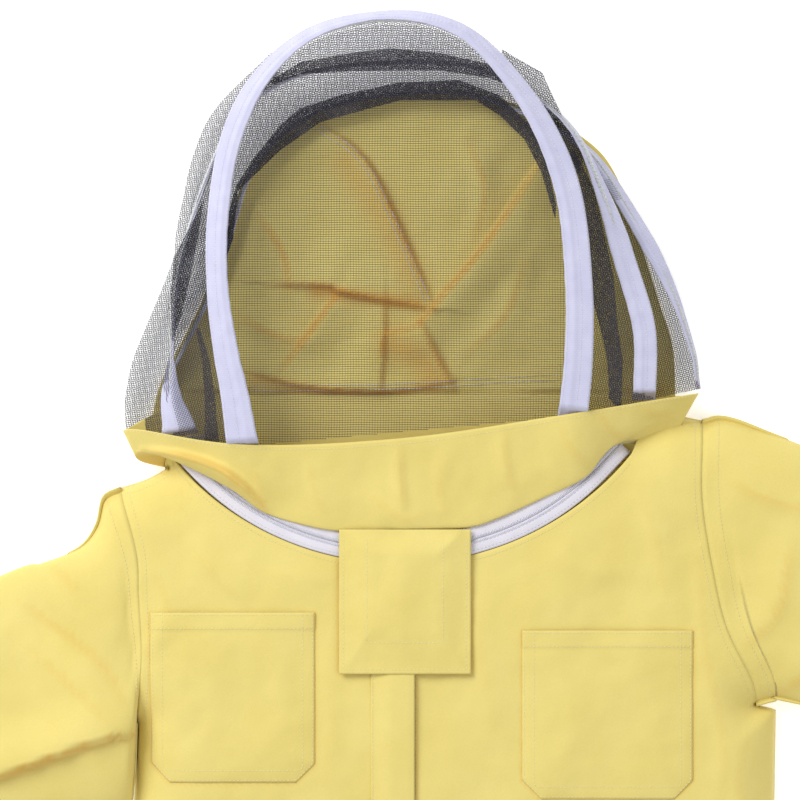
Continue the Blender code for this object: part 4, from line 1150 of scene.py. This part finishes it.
def hood_band(outer):
    """Band that joins the hood to its zip: it rolls over the zip, then rises to the veil."""
    count, steps, roll = 420, 40, 0.16
    turn = circle(count)
    across = np.cos(turn)
    front_share = ((1 + np.copysign(oval(across, 8), np.sin(turn))) / 2)[:, None]
    inner = lift_grid(neck_points(outer, NECK_HALF_ANGLE * across),
                      np.full(count, FRONT_Z - 0.0006))
    lower = lift_grid(point_along(smooth_path(BAND_LOWER, 161), (across + 1) / 2),
                      np.full(count, FRONT_Z + 0.0022))
    upper_plan = point_along(smooth_path(BAND_TOP, 121), (across + 1) / 2)
    over_hoop = sum(np.exp(-((upper_plan[:, 0] - x) / 0.024) ** 2)
                    for x in (FRONT_HOOP[0][0], FRONT_HOOP[-1][0]))
    upper = lift_grid(upper_plan, BAND_TOP_Z + 0.0065 * over_hoop)
    rear_low = lift_grid(point_along(smooth_path(BAND_REAR_LOWER, 121), (across + 1) / 2),
                         np.full(count, 0.0034))
    rear_top = upper.copy()
    rear_top[:, 1] += (BAND_REAR_TOP_Y - upper[:, 1]) * (1 - across ** 8)
    rear_top[:, 2] = 0.0034
    rows = []
    for share in np.linspace(0.0, 1.0, steps + 1):
        if share < roll:
            quarter = share / roll * math.pi / 2
            front = inner + (lower - inner) * (math.sin(quarter), math.sin(quarter),
                                               1 - math.cos(quarter))
        else:
            climb = (share - roll) / (1 - roll)
            front = lower + (upper - lower) * (climb, climb, climb ** 0.85)
        back = rear_low + (rear_top - rear_low) * share
        rows.append(back + (front - back) * front_share)
    points = np.array(rows)
    share = np.linspace(0.0, 1.0, steps + 1)[:, None]
    inside = np.sqrt(np.sin(math.pi * np.clip(share, 0.02, 0.95)))
    on_front = smooth_step((front_share[:, 0] - 0.5) / 0.3)
    plan = points[..., :2]
    relief = folds_height(plan, BAND_FOLDS) + wrinkles(plan, 0.035, 0.003, 4.4, 1.57, 1.8)
    relief += wrinkles(plan, 0.012, 0.0006, 8.1, 1.57, 1.6)
    points[..., 2] += relief * on_front * inside
    # Painted shade: in the feet of the band's folds on its front, and on its rear layer towards the
    # torso, which lies in shadow under the roll
    shade = painted_fold_shade(plan, BAND_FOLDS, 0.003) * 0.45 * on_front
    shade += 0.5 * (1 - on_front) * smooth_step((0.15 - plan[..., 1]) / 0.02)
    item = cloth("hood_band_cloth", points, YELLOW, "jacket", ("hood_band",), closed=True,
                 flip=True, shade=np.minimum(shade, 1.0))
    half = count // 2
    stitches("hood_band_stitching", [points[38, 4:half - 4] + (0.0, 0.0, 0.0001)], YELLOW_THREAD,
             "jacket")


FLAP_FACE_Z = 0.039
FLAP_OVER_PULLS = 0.0022                    # how far the pulls under it push it up
HOOK_TAPE_WIDTH = 0.02


def flap_height(plan):
    """The flap hangs from the band, passes over the zip pulls and settles on the panels."""
    x, y = plan[..., 0], plan[..., 1]
    over_pulls = np.exp(-(x / 0.016) ** 2) * np.exp(-((y - 0.045) / 0.03) ** 2)
    crown = FLAP_FACE_Z + FLAP_OVER_PULLS * over_pulls
    side = smooth_step((np.abs(x) - 0.022) / 0.0295) * 0.005
    bottom = smooth_step((0.01 - y) / 0.04) * 0.0046
    top = smooth_step((y - 0.062) / 0.021) * 0.004
    soft = wrinkles(plan, 0.03, 0.0014, 6.6) + wrinkles(plan, 0.011, 0.0003, 1.2)
    return crown - np.maximum(np.maximum(side, bottom), top) + soft


def neck_flap():
    """Flap over the zips' meeting point, with its hook tape."""
    x = np.linspace(-FLAP_HALF_WIDTH, FLAP_HALF_WIDTH, 66)
    y = np.linspace(FLAP_BOTTOM_Y, FLAP_TOP_Y, 72)
    plan = np.stack(np.meshgrid(x, y), axis=-1)
    reach = ("jacket", "flap", (0.0, FLAP_TOP_Y, 0.0426), (0.0, 0.064, 0.0426))
    item = cloth("neck_flap_cloth", lift_grid(plan, flap_height(plan)), YELLOW, reach,
                 ("neck_flap",))
    rows = []
    for x, low in ((FLAP_HALF_WIDTH - 0.0035, FLAP_BOTTOM_Y + 0.0035), (0.0298, -0.0052)):
        outline = [(-x, 0.076), (-x, low), (x, low), (x, 0.076)]
        rows.append(on_surface(even_path(outline, 240), flap_height, 0.0001))
    stitches("neck_flap_stitching", rows, YELLOW_THREAD, reach)
    hook_tape()


def hook_tape():
    """Hook tape sewn under three sides of the flap."""
    half, width, low, high = 0.049, HOOK_TAPE_WIDTH, -0.027, 0.046
    strips = []
    for x_low, x_high, y_low, y_high in ((-half, -half + width, low, high),
                                         (half - width, half, low, high),
                                         (-half + width, half - width, low, low + width)):
        plan = np.stack(np.meshgrid(np.linspace(x_low, x_high, 14),
                                    np.linspace(y_low, y_high, 24)), axis=-1)
        strips.append(lift_grid(plan, flap_height(plan) - CLOTH - 0.0002))
    for index, strip in enumerate(strips):
        item = cloth(f"flap_hook_tape_{index}", strip, PILE, "flap",
                     ("flap_hook_tape",) if index == 0 else (), 0.0009)


# ---------------------------------------------------------------- hood

LEG_BELOW = 0.0085                          # length of each hoop's tape inside the band
TAPE_RISE = 0.0032                          # from the hoop's middle to the tape's face
TAPE_RUFFLE = 0.00012
BONING_BULGE = 0.0008                       # how far the boning pushes the tape up
TUCK_DEPTH = 0.009                          # how far each end goes down inside the band
HOOP_TAPES = (     # each tape's plan widths, drops of its outer edge and shifts, leg to leg,
    # in millimetres at 13 even stations, and the share of its flat width that isn't folded under
    ("front", "veil", FRONT_HOOP, FRONT_HOOP_Z,
     (25, 20, 17, 17, 17, 12, 8, 12, 16, 20, 21, 22, 23),
     (0, 3, 6, 6, 7, 10, 12, 10, 7, 3, 0, 0, 0),
     (-5, 0, 0, 0, 1, 3, 4, 3, 1, 0, 0, 0, 0), 1.0),
    ("middle", "middle_hoop", MIDDLE_HOOP, MIDDLE_HOOP_Z,
     (29, 4, 4, 4, 4, 4, 4, 4, 4, 8, 17, 18, 18),
     (0, 10, 18, 18, 18, 18, 18, 18, 18, 16, 4, 0, 0),
     (0,) * 13, 1.0),
    ("rear", "hood", REAR_HOOP, REAR_HOOP_Z,
     (3, 3, 3, 3, 3, 3, 3, 3, 6, 11, 13, 7, 4),
     (12, 13, 13, 13, 13, 13, 13, 13, 12, 8, 4, 10, 12),
     (0,) * 13, 0.68),
)


def lengthened(points):
    """A hoop's line carried on at both ends into the hood band."""
    points = np.asarray(points, float)
    ends = []
    for end, following in ((points[0], points[1]), (points[-1], points[-2])):
        along = (end - following) / np.linalg.norm(end - following)
        ends.append(end + along * LEG_BELOW)
    return np.vstack((ends[0], points, ends[1]))


def hoop_tape(word, body, points, top_z, widths, drops, shifts):
    """Folded bias tape that cases a hoop: its plan width and how far its outer edge drops."""
    count, columns = 300, 15
    path = smooth_path(lengthened(points), count)
    share = np.linspace(0.0, 1.0, count)
    stations = np.linspace(0.0, 1.0, len(widths))
    width, drop, out = (np.interp(share, stations, np.array(values) / 1000)
                        for values in (widths, drops, shifts))
    lengths = np.cumsum(np.linalg.norm(np.gradient(path, axis=0), axis=1))
    leg = np.minimum(lengths, lengths[-1] - lengths)
    tuck = TUCK_DEPTH * smooth_step(1 - (leg - 0.0025) / 0.0055)
    rows = []
    for column in range(columns):
        across = column / (columns - 1)
        ruffle = TAPE_RUFFLE * np.sin(lengths * 420 + 1.3 * np.sin(lengths * 60)) * (1 - across) ** 2
        edge = side_step(path, out + width * (across - 0.5) + ruffle)
        channel = math.exp(-((across - 0.32) / 0.1) ** 2)
        rim = min(across, 1 - across) * (columns - 1)
        height = (top_z + BONING_BULGE * channel + 0.0005 * min(rim, 1.0)
                  - drop * across ** 1.5 - tuck + ruffle)
        rows.append(lift_grid(edge, np.maximum(height, 0.0015)))
    grid = np.array(rows)
    name = "hoop_tape_" + word
    item = cloth(name + "_woven", grid, WHITE_TAPE, body, (name,), 0.0007)
    threads = [grid[row] + (0.0, 0.0, 0.00025) for row in (1, 8, columns - 2)]
    stitches(name + "_stitching", threads, WHITE_THREAD, body, share=0.6)


SHORTEST_THREAD = 0.001
THREAD_STEP = 0.007                         # length of each straight piece of a thread
THREAD_SWAY = 0.00015                       # how far threads wander sideways


def thread_lines(outline, spacing, turn):
    """Straight lines across a plan outline at an angle, as pairs of end points."""
    c, s = math.cos(turn), math.sin(turn)
    rotate = np.array(((c, -s), (s, c)))
    corners = np.asarray(outline) @ rotate
    following = np.roll(corners, -1, axis=0)
    lines = []
    first = math.ceil(corners[:, 1].min() / spacing) * spacing
    for level in np.arange(first, corners[:, 1].max(), spacing):
        crosses = (corners[:, 1] > level) != (following[:, 1] > level)
        a, b = corners[crosses], following[crosses]
        if len(a) < 2:
            continue
        xs = np.sort(a[:, 0] + (level - a[:, 1]) * (b[:, 0] - a[:, 0]) / (b[:, 1] - a[:, 1]))
        for start, end in zip(xs[::2], xs[1::2]):
            if end - start > SHORTEST_THREAD:
                lines.append(np.array(((start, level), (end, level))) @ rotate.T)
    return lines


def under_band(points, heights):
    """Keeps netting below the hood band where it is sewn into it."""
    band = smooth_path(BAND_TOP, 60)
    band_y = np.interp(points[:, 0], band[:, 0], band[:, 1])
    across = np.clip((points[:, 0] - 0.0045) / 0.2255, -1.0, 1.0)
    band_z = BAND_TOP_Z * (0.5 + 0.5 * oval(across, 8)) - 0.004
    return np.minimum(heights, band_z + 0.4 * np.maximum(points[:, 1] - band_y, 0.0))


def netting(name, layers, threads, squeeze, body, replaces):
    """Veil netting: each thread is a narrow ribbon; a layer is (outline, height, turn)."""
    vertices, faces, start = [], [], 0
    ways = ((0.0, NET_PITCH_Y, threads[0]), (math.pi / 2, NET_PITCH_X, threads[1]))
    for outline, height, turn in layers:
        for way, spacing, width in ways:
            for line in thread_lines(outline, spacing * squeeze, turn + way):
                length = np.linalg.norm(line[1] - line[0])
                count = max(int(length / THREAD_STEP), 1) + 1
                path = even_path(line, count)
                along = (line[1] - line[0]) / length
                across = np.array((-along[1], along[0]))
                sway = np.sin(path @ along * 170 + path[0] @ across * 9)
                path += across * (THREAD_SWAY * sway)[:, None]
                z = under_band(path, height(path))
                left = lift_grid(path + across * width * squeeze / 2, z)
                right = lift_grid(path - across * width * squeeze / 2, z)
                vertices.append(np.stack((left, right), axis=1).reshape(-1, 3))
                for index in range(count - 1):
                    spot = start + 2 * index
                    faces.append((spot, spot + 1, spot + 3, spot + 2))
                start += 2 * count
    item = add_piece(name, np.vstack(vertices), faces, NETTING, body, replaces, loose=True)


def between(outer_path, outer_z, inner_path, inner_z, sag=0.0):
    """Height of netting that spans from one path to another."""
    def height(points):
        outer = np.maximum(nearest_on(points, outer_path)[0] - 0.01, 0.0)
        inner = np.maximum(nearest_on(points, inner_path)[0] - 0.004, 0.0)
        share = outer / (outer + inner + 1e-6)
        waves = 0.0012 * np.sin(points[:, 0] * 95 + points[:, 1] * 60) - sag
        return outer_z + (inner_z - outer_z) * share + waves * np.sin(math.pi * share)
    return height


def face_netting():
    """One taut layer of netting inside the front hoop."""
    path = smooth_path(lengthened(FRONT_HOOP), 80)
    inner = side_step(path, -0.004)

    def height(points):
        near = nearest_on(points, path)[0]
        sag = 0.0075 * smooth_step(near / 0.09)
        waves = 0.0008 * np.sin(points[:, 0] * 70 + points[:, 1] * 45)
        return FRONT_HOOP_Z - sag + waves

    netting("face_netting", [(inner, height, 0.0)], (NET_THREAD_ACROSS, NET_THREAD_ALONG), 1.0,
            "veil", ("face_mesh",))


def gussets():
    """Netting gussets between the hoops, with the pleats that they fold into when laid flat."""
    front = smooth_path(lengthened(FRONT_HOOP), 90)
    middle = smooth_path(lengthened(MIDDLE_HOOP), 90)
    rear = smooth_path(lengthened(REAR_HOOP), 90)
    veil_edge = smooth_path((*VEIL_EDGE, (-0.219, 0.153)), 40)
    threads = (GUSSET_THREAD, GUSSET_THREAD)
    low, high = MIDDLE_HOOP_Z + 0.0012, FRONT_HOOP_Z - 0.003
    span = between(middle, low, front, high)
    lower_span = between(middle, low - 0.002, front, high - 0.004, 0.002)
    drape = between(veil_edge, 0.006, middle, low, 0.001)
    over_tape = between(middle, low + 0.004, front, high)
    main = np.vstack((middle, front[::-1]))
    main_left = np.vstack((middle[:48], front[:48][::-1]))
    main_right = np.vstack((middle[47:], front[47:][::-1]))
    left = np.vstack((veil_edge, middle[:36]))
    layers = [(main, span, 0.25), (main_left, over_tape, -0.4), (main_right, lower_span, -0.4),
              (left, drape, 0.35), (left, drape, 0.05), (RIGHT_SLIVER, span, 0.7),
              (RIGHT_SLIVER, span, 0.2), (RIGHT_SLIVER, span, 1.1)]
    for turn in (0.9, 0.15, 1.25, 0.55):
        layers.append((CROWN_BUNCH, over_tape, turn))
        layers.append((RIGHT_BUNCH, span, turn + 0.3))
    for turn in (0.9, 0.1, 0.5):
        layers.append((LEFT_BUNCH, span, turn))
        layers.append((LEFT_WEDGE, over_tape, turn + 0.2))
    netting("gusset_front_netting", layers, threads, GUSSET_SQUEEZE,
            ("middle_hoop", "veil", (0, 0.3, low - 0.002), (0, 0.3, high + 0.001)),
            ("gusset_front",))
    low, high = REAR_HOOP_Z + 0.0012, MIDDLE_HOOP_Z - 0.003
    span = between(rear, low, middle, high)
    lower_span = between(rear, low - 0.002, middle, high - 0.004, 0.002)
    main = np.vstack((rear, middle[::-1]))
    layers = [(main, span, 0.3), (main, lower_span, -0.35)]
    over_tape = between(rear, low + 0.0045, middle, high)
    layers += [(BACK_BUNCH, over_tape, turn) for turn in (0.1, 0.5, 0.95, 1.3, 0.72)]
    netting("gusset_rear_netting", layers, threads, GUSSET_SQUEEZE,
            ("hood", "middle_hoop", (0, 0.3, low - 0.001), (0, 0.3, high + 0.001)),
            ("gusset_rear",))


BACK_FOLDS = (
    (((-0.0668, 0.4002), (-0.0314, 0.3727), (-0.0039, 0.3177), (0.0197, 0.2627)),
     0.008, 0.0022, 0.018),
    (((0.113, 0.38), (0.0668, 0.3097), (0.0275, 0.2626), (0.0118, 0.243), (-0.014, 0.236)),
     0.012, 0.026, 0.0022),
    (((-0.108, 0.276), (-0.0589, 0.2744), (-0.0471, 0.2689), (0.025, 0.256)),
     0.009, 0.02, 0.0025),
    (((-0.05, 0.27), (-0.072, 0.24), (-0.096, 0.208)), 0.008, 0.02, 0.003),
    (((-0.0157, 0.268), (-0.0175, 0.225), (-0.02, 0.182)), 0.005, 0.0018, 0.024),
    (((0.009, 0.25), (0.024, 0.22), (0.04, 0.188)), 0.006, 0.003, 0.014),
    (((-0.1257, 0.208), (-0.0825, 0.196), (-0.0196, 0.19), (0.0354, 0.199)),
     0.006, 0.012, 0.002),
    (((0.05, 0.39), (0.064, 0.35), (0.056, 0.312)), 0.004, 0.012, 0.01),
    (((-0.115, 0.33), (-0.095, 0.3), (-0.09, 0.27)), 0.006, 0.014, 0.01),
    (((0.095, 0.29), (0.08, 0.25), (0.05, 0.22)), 0.004, 0.014, 0.01),
    (((-0.13, 0.25), (-0.1, 0.235), (-0.075, 0.23)), 0.0045, 0.012, 0.008),
    (((0.15, 0.33), (0.16, 0.27), (0.165, 0.21)), 0.0025, 0.014, 0.01),
)
# Painted warm light caught in the hood back's folds, which darkens and warms the cloth
BACK_PAINTED_FOLD_LIGHT = (                                # path, reach and strength of light caught in folds
    (((-0.046, 0.37), (-0.015, 0.325), (0.005, 0.28)), 0.012, 0.38),
    (((-0.01, 0.228), (0.012, 0.216), (0.022, 0.2)), 0.013, 0.5),
    (((-0.07, 0.269), (-0.04, 0.266), (0.01, 0.261)), 0.006, 0.55),
    (((-0.12, 0.199), (-0.07, 0.19), (0.0, 0.186)), 0.006, 0.35),
)


def painted_fold_light(plan, areas):
    """How much painted warm fold light each point gets, from 0 to 1."""
    points = plan.reshape(-1, 2)
    total = np.zeros(len(points))
    for path, reach, strength in areas:
        distance = nearest_on(points, smooth_path(path, 12))[0]
        total += strength * np.exp(-(distance / reach) ** 2)
    return total.reshape(plan.shape[:-1])


def hood_back():
    """Cloth back of the hood, which collapses into folds under the veil."""
    edge = smooth_path(BACK_OUTLINE, 200)
    rows, columns = 150, 200
    left_leg = even_path(edge[:56], rows)
    right_leg = even_path(edge[-56:][::-1], rows)
    top = even_path(edge[55:-55], columns)
    bottom = even_path([left_leg[0], right_leg[0]], columns)
    plan = coons(bottom, top, left_leg, right_leg)
    near = nearest_on(plan.reshape(-1, 2), edge)[0].reshape(plan.shape[:-1])
    calm = smooth_step((near - 0.002) / 0.02) * smooth_step((plan[..., 1] - 0.189) / 0.004)
    relief = folds_height(plan, BACK_FOLDS) + wrinkles(plan, 0.04, 0.0035, 12.4, 0.5, 1.5)
    relief += wrinkles(plan, 0.013, 0.0008, 3.8)

    def height(points, calmness):
        return 0.0022 + np.maximum(points * calmness, -0.0008)

    heights = height(relief + 0.003, calm)
    points = lift_grid(plan, heights)
    reach = ("jacket", "hood", (0.0, 0.19, 0.0), (0.0, 0.215, 0.0))
    # Painted shade in the feet of the folds, and painted warm light in the listed areas
    item = cloth("hood_back_cloth", points, YELLOW, reach, ("hood_back_panel",),
                 shade=np.minimum(0.7 * painted_fold_shade(plan, BACK_FOLDS, 0.0028)
                                  + painted_fold_light(plan, BACK_PAINTED_FOLD_LIGHT), 1.0))
    serge_seam(plan, heights, reach)


def serge_seam(plan, heights, reach):
    """Overlocked seam that crosses the hood's back, and the seam to the hood band."""
    flat = plan.reshape(-1, 2)

    def settle(path):
        found = []
        for point in path:
            nearest = np.argmin(((flat - point) ** 2).sum(axis=1))
            found.append((*point, heights.reshape(-1)[nearest] + 0.0006))
        return np.array(found)

    seam = smooth_path(BACK_FOLDS[0][0], 90)
    zigzag = side_step(seam, 0.0014 * np.where(np.arange(90) % 2, 1.0, -1.0))
    base = smooth_path(((-0.1218, 0.1915), (-0.0078, 0.1925), (0.0747, 0.1975),
                        (0.1218, 0.1995)), 60)
    rows = [settle(zigzag), settle(base), settle(side_step(base, 0.004))]
    rows.append(settle(side_step(seam, -0.004)))
    stitches("hood_back_stitching", rows, WHITE_THREAD, reach, radius=0.00032, share=0.8)


# ---------------------------------------------------------------- studio

FLOOR_HALF_SIZE = 6.0
FLOOR_Z = -0.0006
LIGHTS = (                                  # name, place, size and watts
    ("key_light", (-1.6, 1.5, 1.7), 1.4, 52.0),
    ("fill_light", (1.8, -0.6, 2.4), 2.4, 16.0),
)
LIGHTS_AIM = Vector((0.0, 0.15, 0.0))
SKY_STRENGTH = 0.56
CAMERA_PLACE = (ZIP_X - 0.0039, 0.184, 3.0)
CAMERA_LENS = 171.0                         # millimetres, on a 36 mm sensor


def studio():
    """Pale floor, two soft lights and an even sky."""
    corners = [(x * FLOOR_HALF_SIZE, y * FLOOR_HALF_SIZE, FLOOR_Z)
               for x, y in ((-1, -1), (1, -1), (1, 1), (-1, 1))]
    mesh = bpy.data.meshes.new("studio_floor")
    mesh.from_pydata(corners, [], [(0, 1, 2, 3)])
    mesh.materials.append(FLOOR)
    floor = bpy.data.objects.new("studio_floor", mesh)
    bpy.context.scene.collection.objects.link(floor)
    for name, place, size, power in LIGHTS:
        lamp = bpy.data.lights.new(name, "AREA")
        lamp.size = size
        lamp.energy = power
        item = bpy.data.objects.new(name, lamp)
        item.location = place
        aim = LIGHTS_AIM - item.location
        item.rotation_euler = aim.to_track_quat("-Z", "Y").to_euler()
        bpy.context.scene.collection.objects.link(item)
    world = bpy.data.worlds.new("studio_world")
    world.use_nodes = True
    sky = world.node_tree.nodes["Background"].inputs
    sky["Color"].default_value = (1.0, 1.0, 1.0, 1.0)
    sky["Strength"].default_value = SKY_STRENGTH
    bpy.context.scene.world = world
    bpy.context.scene.view_settings.view_transform = "Standard"


def camera():
    """Straight above the hood, three metres up, as a product photograph is taken."""
    data = bpy.data.cameras.new("photo_camera")
    data.sensor_width = 36.0
    data.lens = CAMERA_LENS
    item = bpy.data.objects.new("photo_camera", data)
    item.location = CAMERA_PLACE
    bpy.context.scene.collection.objects.link(item)
    bpy.context.scene.camera = item


# ---------------------------------------------------------------- assembly

def dress_cad_nodes():
    """Materials for the CAD nodes that stay in sight or inside their casings."""
    looks = {"hoop_": BONING, "cuff_elastic": ELASTIC, "thumb_loop": ELASTIC,
             "hem_elastic": ELASTIC, "flap_loop_tape": PILE, "front_zip_top_stop": NYLON,
             "front_zip_box": NYLON, "front_zip_pin": NYLON}
    for name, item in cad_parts.items():
        for start, look in looks.items():
            if name.startswith(start) and not name.startswith("hoop_tape"):
                item.data.materials.clear()
                item.data.materials.append(look)


LEFT_POCKET_FOLDS = (                       # each fold: path, height, width to its left and right
    (((0.11, -0.01), (0.13, -0.05), (0.125, -0.1)), 0.0012, 0.012, 0.008),
    (((0.15, -0.005), (0.185, -0.03), (0.205, -0.08)), 0.001, 0.014, 0.008),
)
RIGHT_POCKET_FOLDS = (
    (((-0.18, 0.0), (-0.15, -0.04), (-0.155, -0.09)), 0.0012, 0.012, 0.008),
    (((-0.12, 0.008), (-0.1, -0.03), (-0.09, -0.08)), 0.001, 0.014, 0.008),
)
LEFT_SLEEVE_FOLDS = (
    (((0.262, -0.01), (0.29, 0.02), (0.3, 0.07)), 0.003, 0.016, 0.008),
    (((0.285, -0.05), (0.33, -0.02), (0.37, 0.01)), 0.0035, 0.018, 0.01),
    (((0.255, 0.12), (0.29, 0.105), (0.34, 0.095)), 0.0025, 0.016, 0.009),
    (((0.4, -0.04), (0.43, 0.01), (0.45, 0.06)), 0.004, 0.02, 0.012),
    (((0.5, -0.07), (0.53, -0.01), (0.54, 0.04)), 0.004, 0.02, 0.012),
    (((0.6, -0.09), (0.62, -0.05), (0.64, -0.01)), 0.0035, 0.018, 0.01),
)
RIGHT_SLEEVE_FOLDS = (
    (((-0.2, -0.0765), (-0.23, -0.079), (-0.2574, -0.0874), (-0.3159, -0.1084),
      (-0.36, -0.118)), 0.011, 0.0016, 0.026),
    (((-0.2379, 0.1076), (-0.23, 0.096), (-0.2285, 0.09)), 0.0016, 0.006, 0.005),
    (((-0.2816, 0.0577), (-0.265, 0.047), (-0.2535, 0.032)), 0.0022, 0.008, 0.006),
    (((-0.3003, 0.0281), (-0.2379, -0.0187), (-0.2184, -0.0499)), -0.003, 0.014, 0.014),
    (((-0.29, -0.01), (-0.255, -0.042), (-0.23, -0.065)), 0.0022, 0.014, 0.01),
    (((-0.36, 0.01), (-0.37, -0.05), (-0.36, -0.1)), 0.004, 0.02, 0.012),
    (((-0.46, -0.05), (-0.48, -0.1), (-0.47, -0.16)), 0.004, 0.02, 0.012),
    (((-0.58, -0.1), (-0.59, -0.15), (-0.58, -0.2)), 0.0035, 0.018, 0.01),
)

dress_cad_nodes()
studio()
back_panel()
front_panel("left", 1, LEFT_SIDE, LEFT_ARMHOLE, LEFT_SHOULDER)
front_panel("right", -1, RIGHT_SIDE, RIGHT_ARMHOLE, RIGHT_SHOULDER)
seam_rows()
pocket("left", LEFT_POCKET_FOLDS)
pocket("right", RIGHT_POCKET_FOLDS)
placket()
hem_band()
sleeve("left", 1, LEFT_ARMHOLE, LEFT_SLEEVE_TOP, LEFT_SLEEVE_BOTTOM, LEFT_SLEEVE_MIDDLE,
       LEFT_SLEEVE_ANGLE, LEFT_SLEEVE_FOLDS)
sleeve("right", -1, RIGHT_ARMHOLE, RIGHT_SLEEVE_TOP, RIGHT_SLEEVE_BOTTOM, RIGHT_SLEEVE_MIDDLE,
       RIGHT_SLEEVE_ANGLE, RIGHT_SLEEVE_FOLDS)
cuff("left", 1, LEFT_SLEEVE_MIDDLE, LEFT_SLEEVE_ANGLE)
cuff("right", -1, RIGHT_SLEEVE_MIDDLE, RIGHT_SLEEVE_ANGLE)
front_zip()
hood_band(neck_zip())
sliders()
neck_flap()
for word, body, path, hoop_z, widths, drops, shifts, share in HOOP_TAPES:
    hoop_tape(word, body, path, hoop_z + TAPE_RISE, widths, drops, shifts)
face_netting()
gussets()
hood_back()
camera()
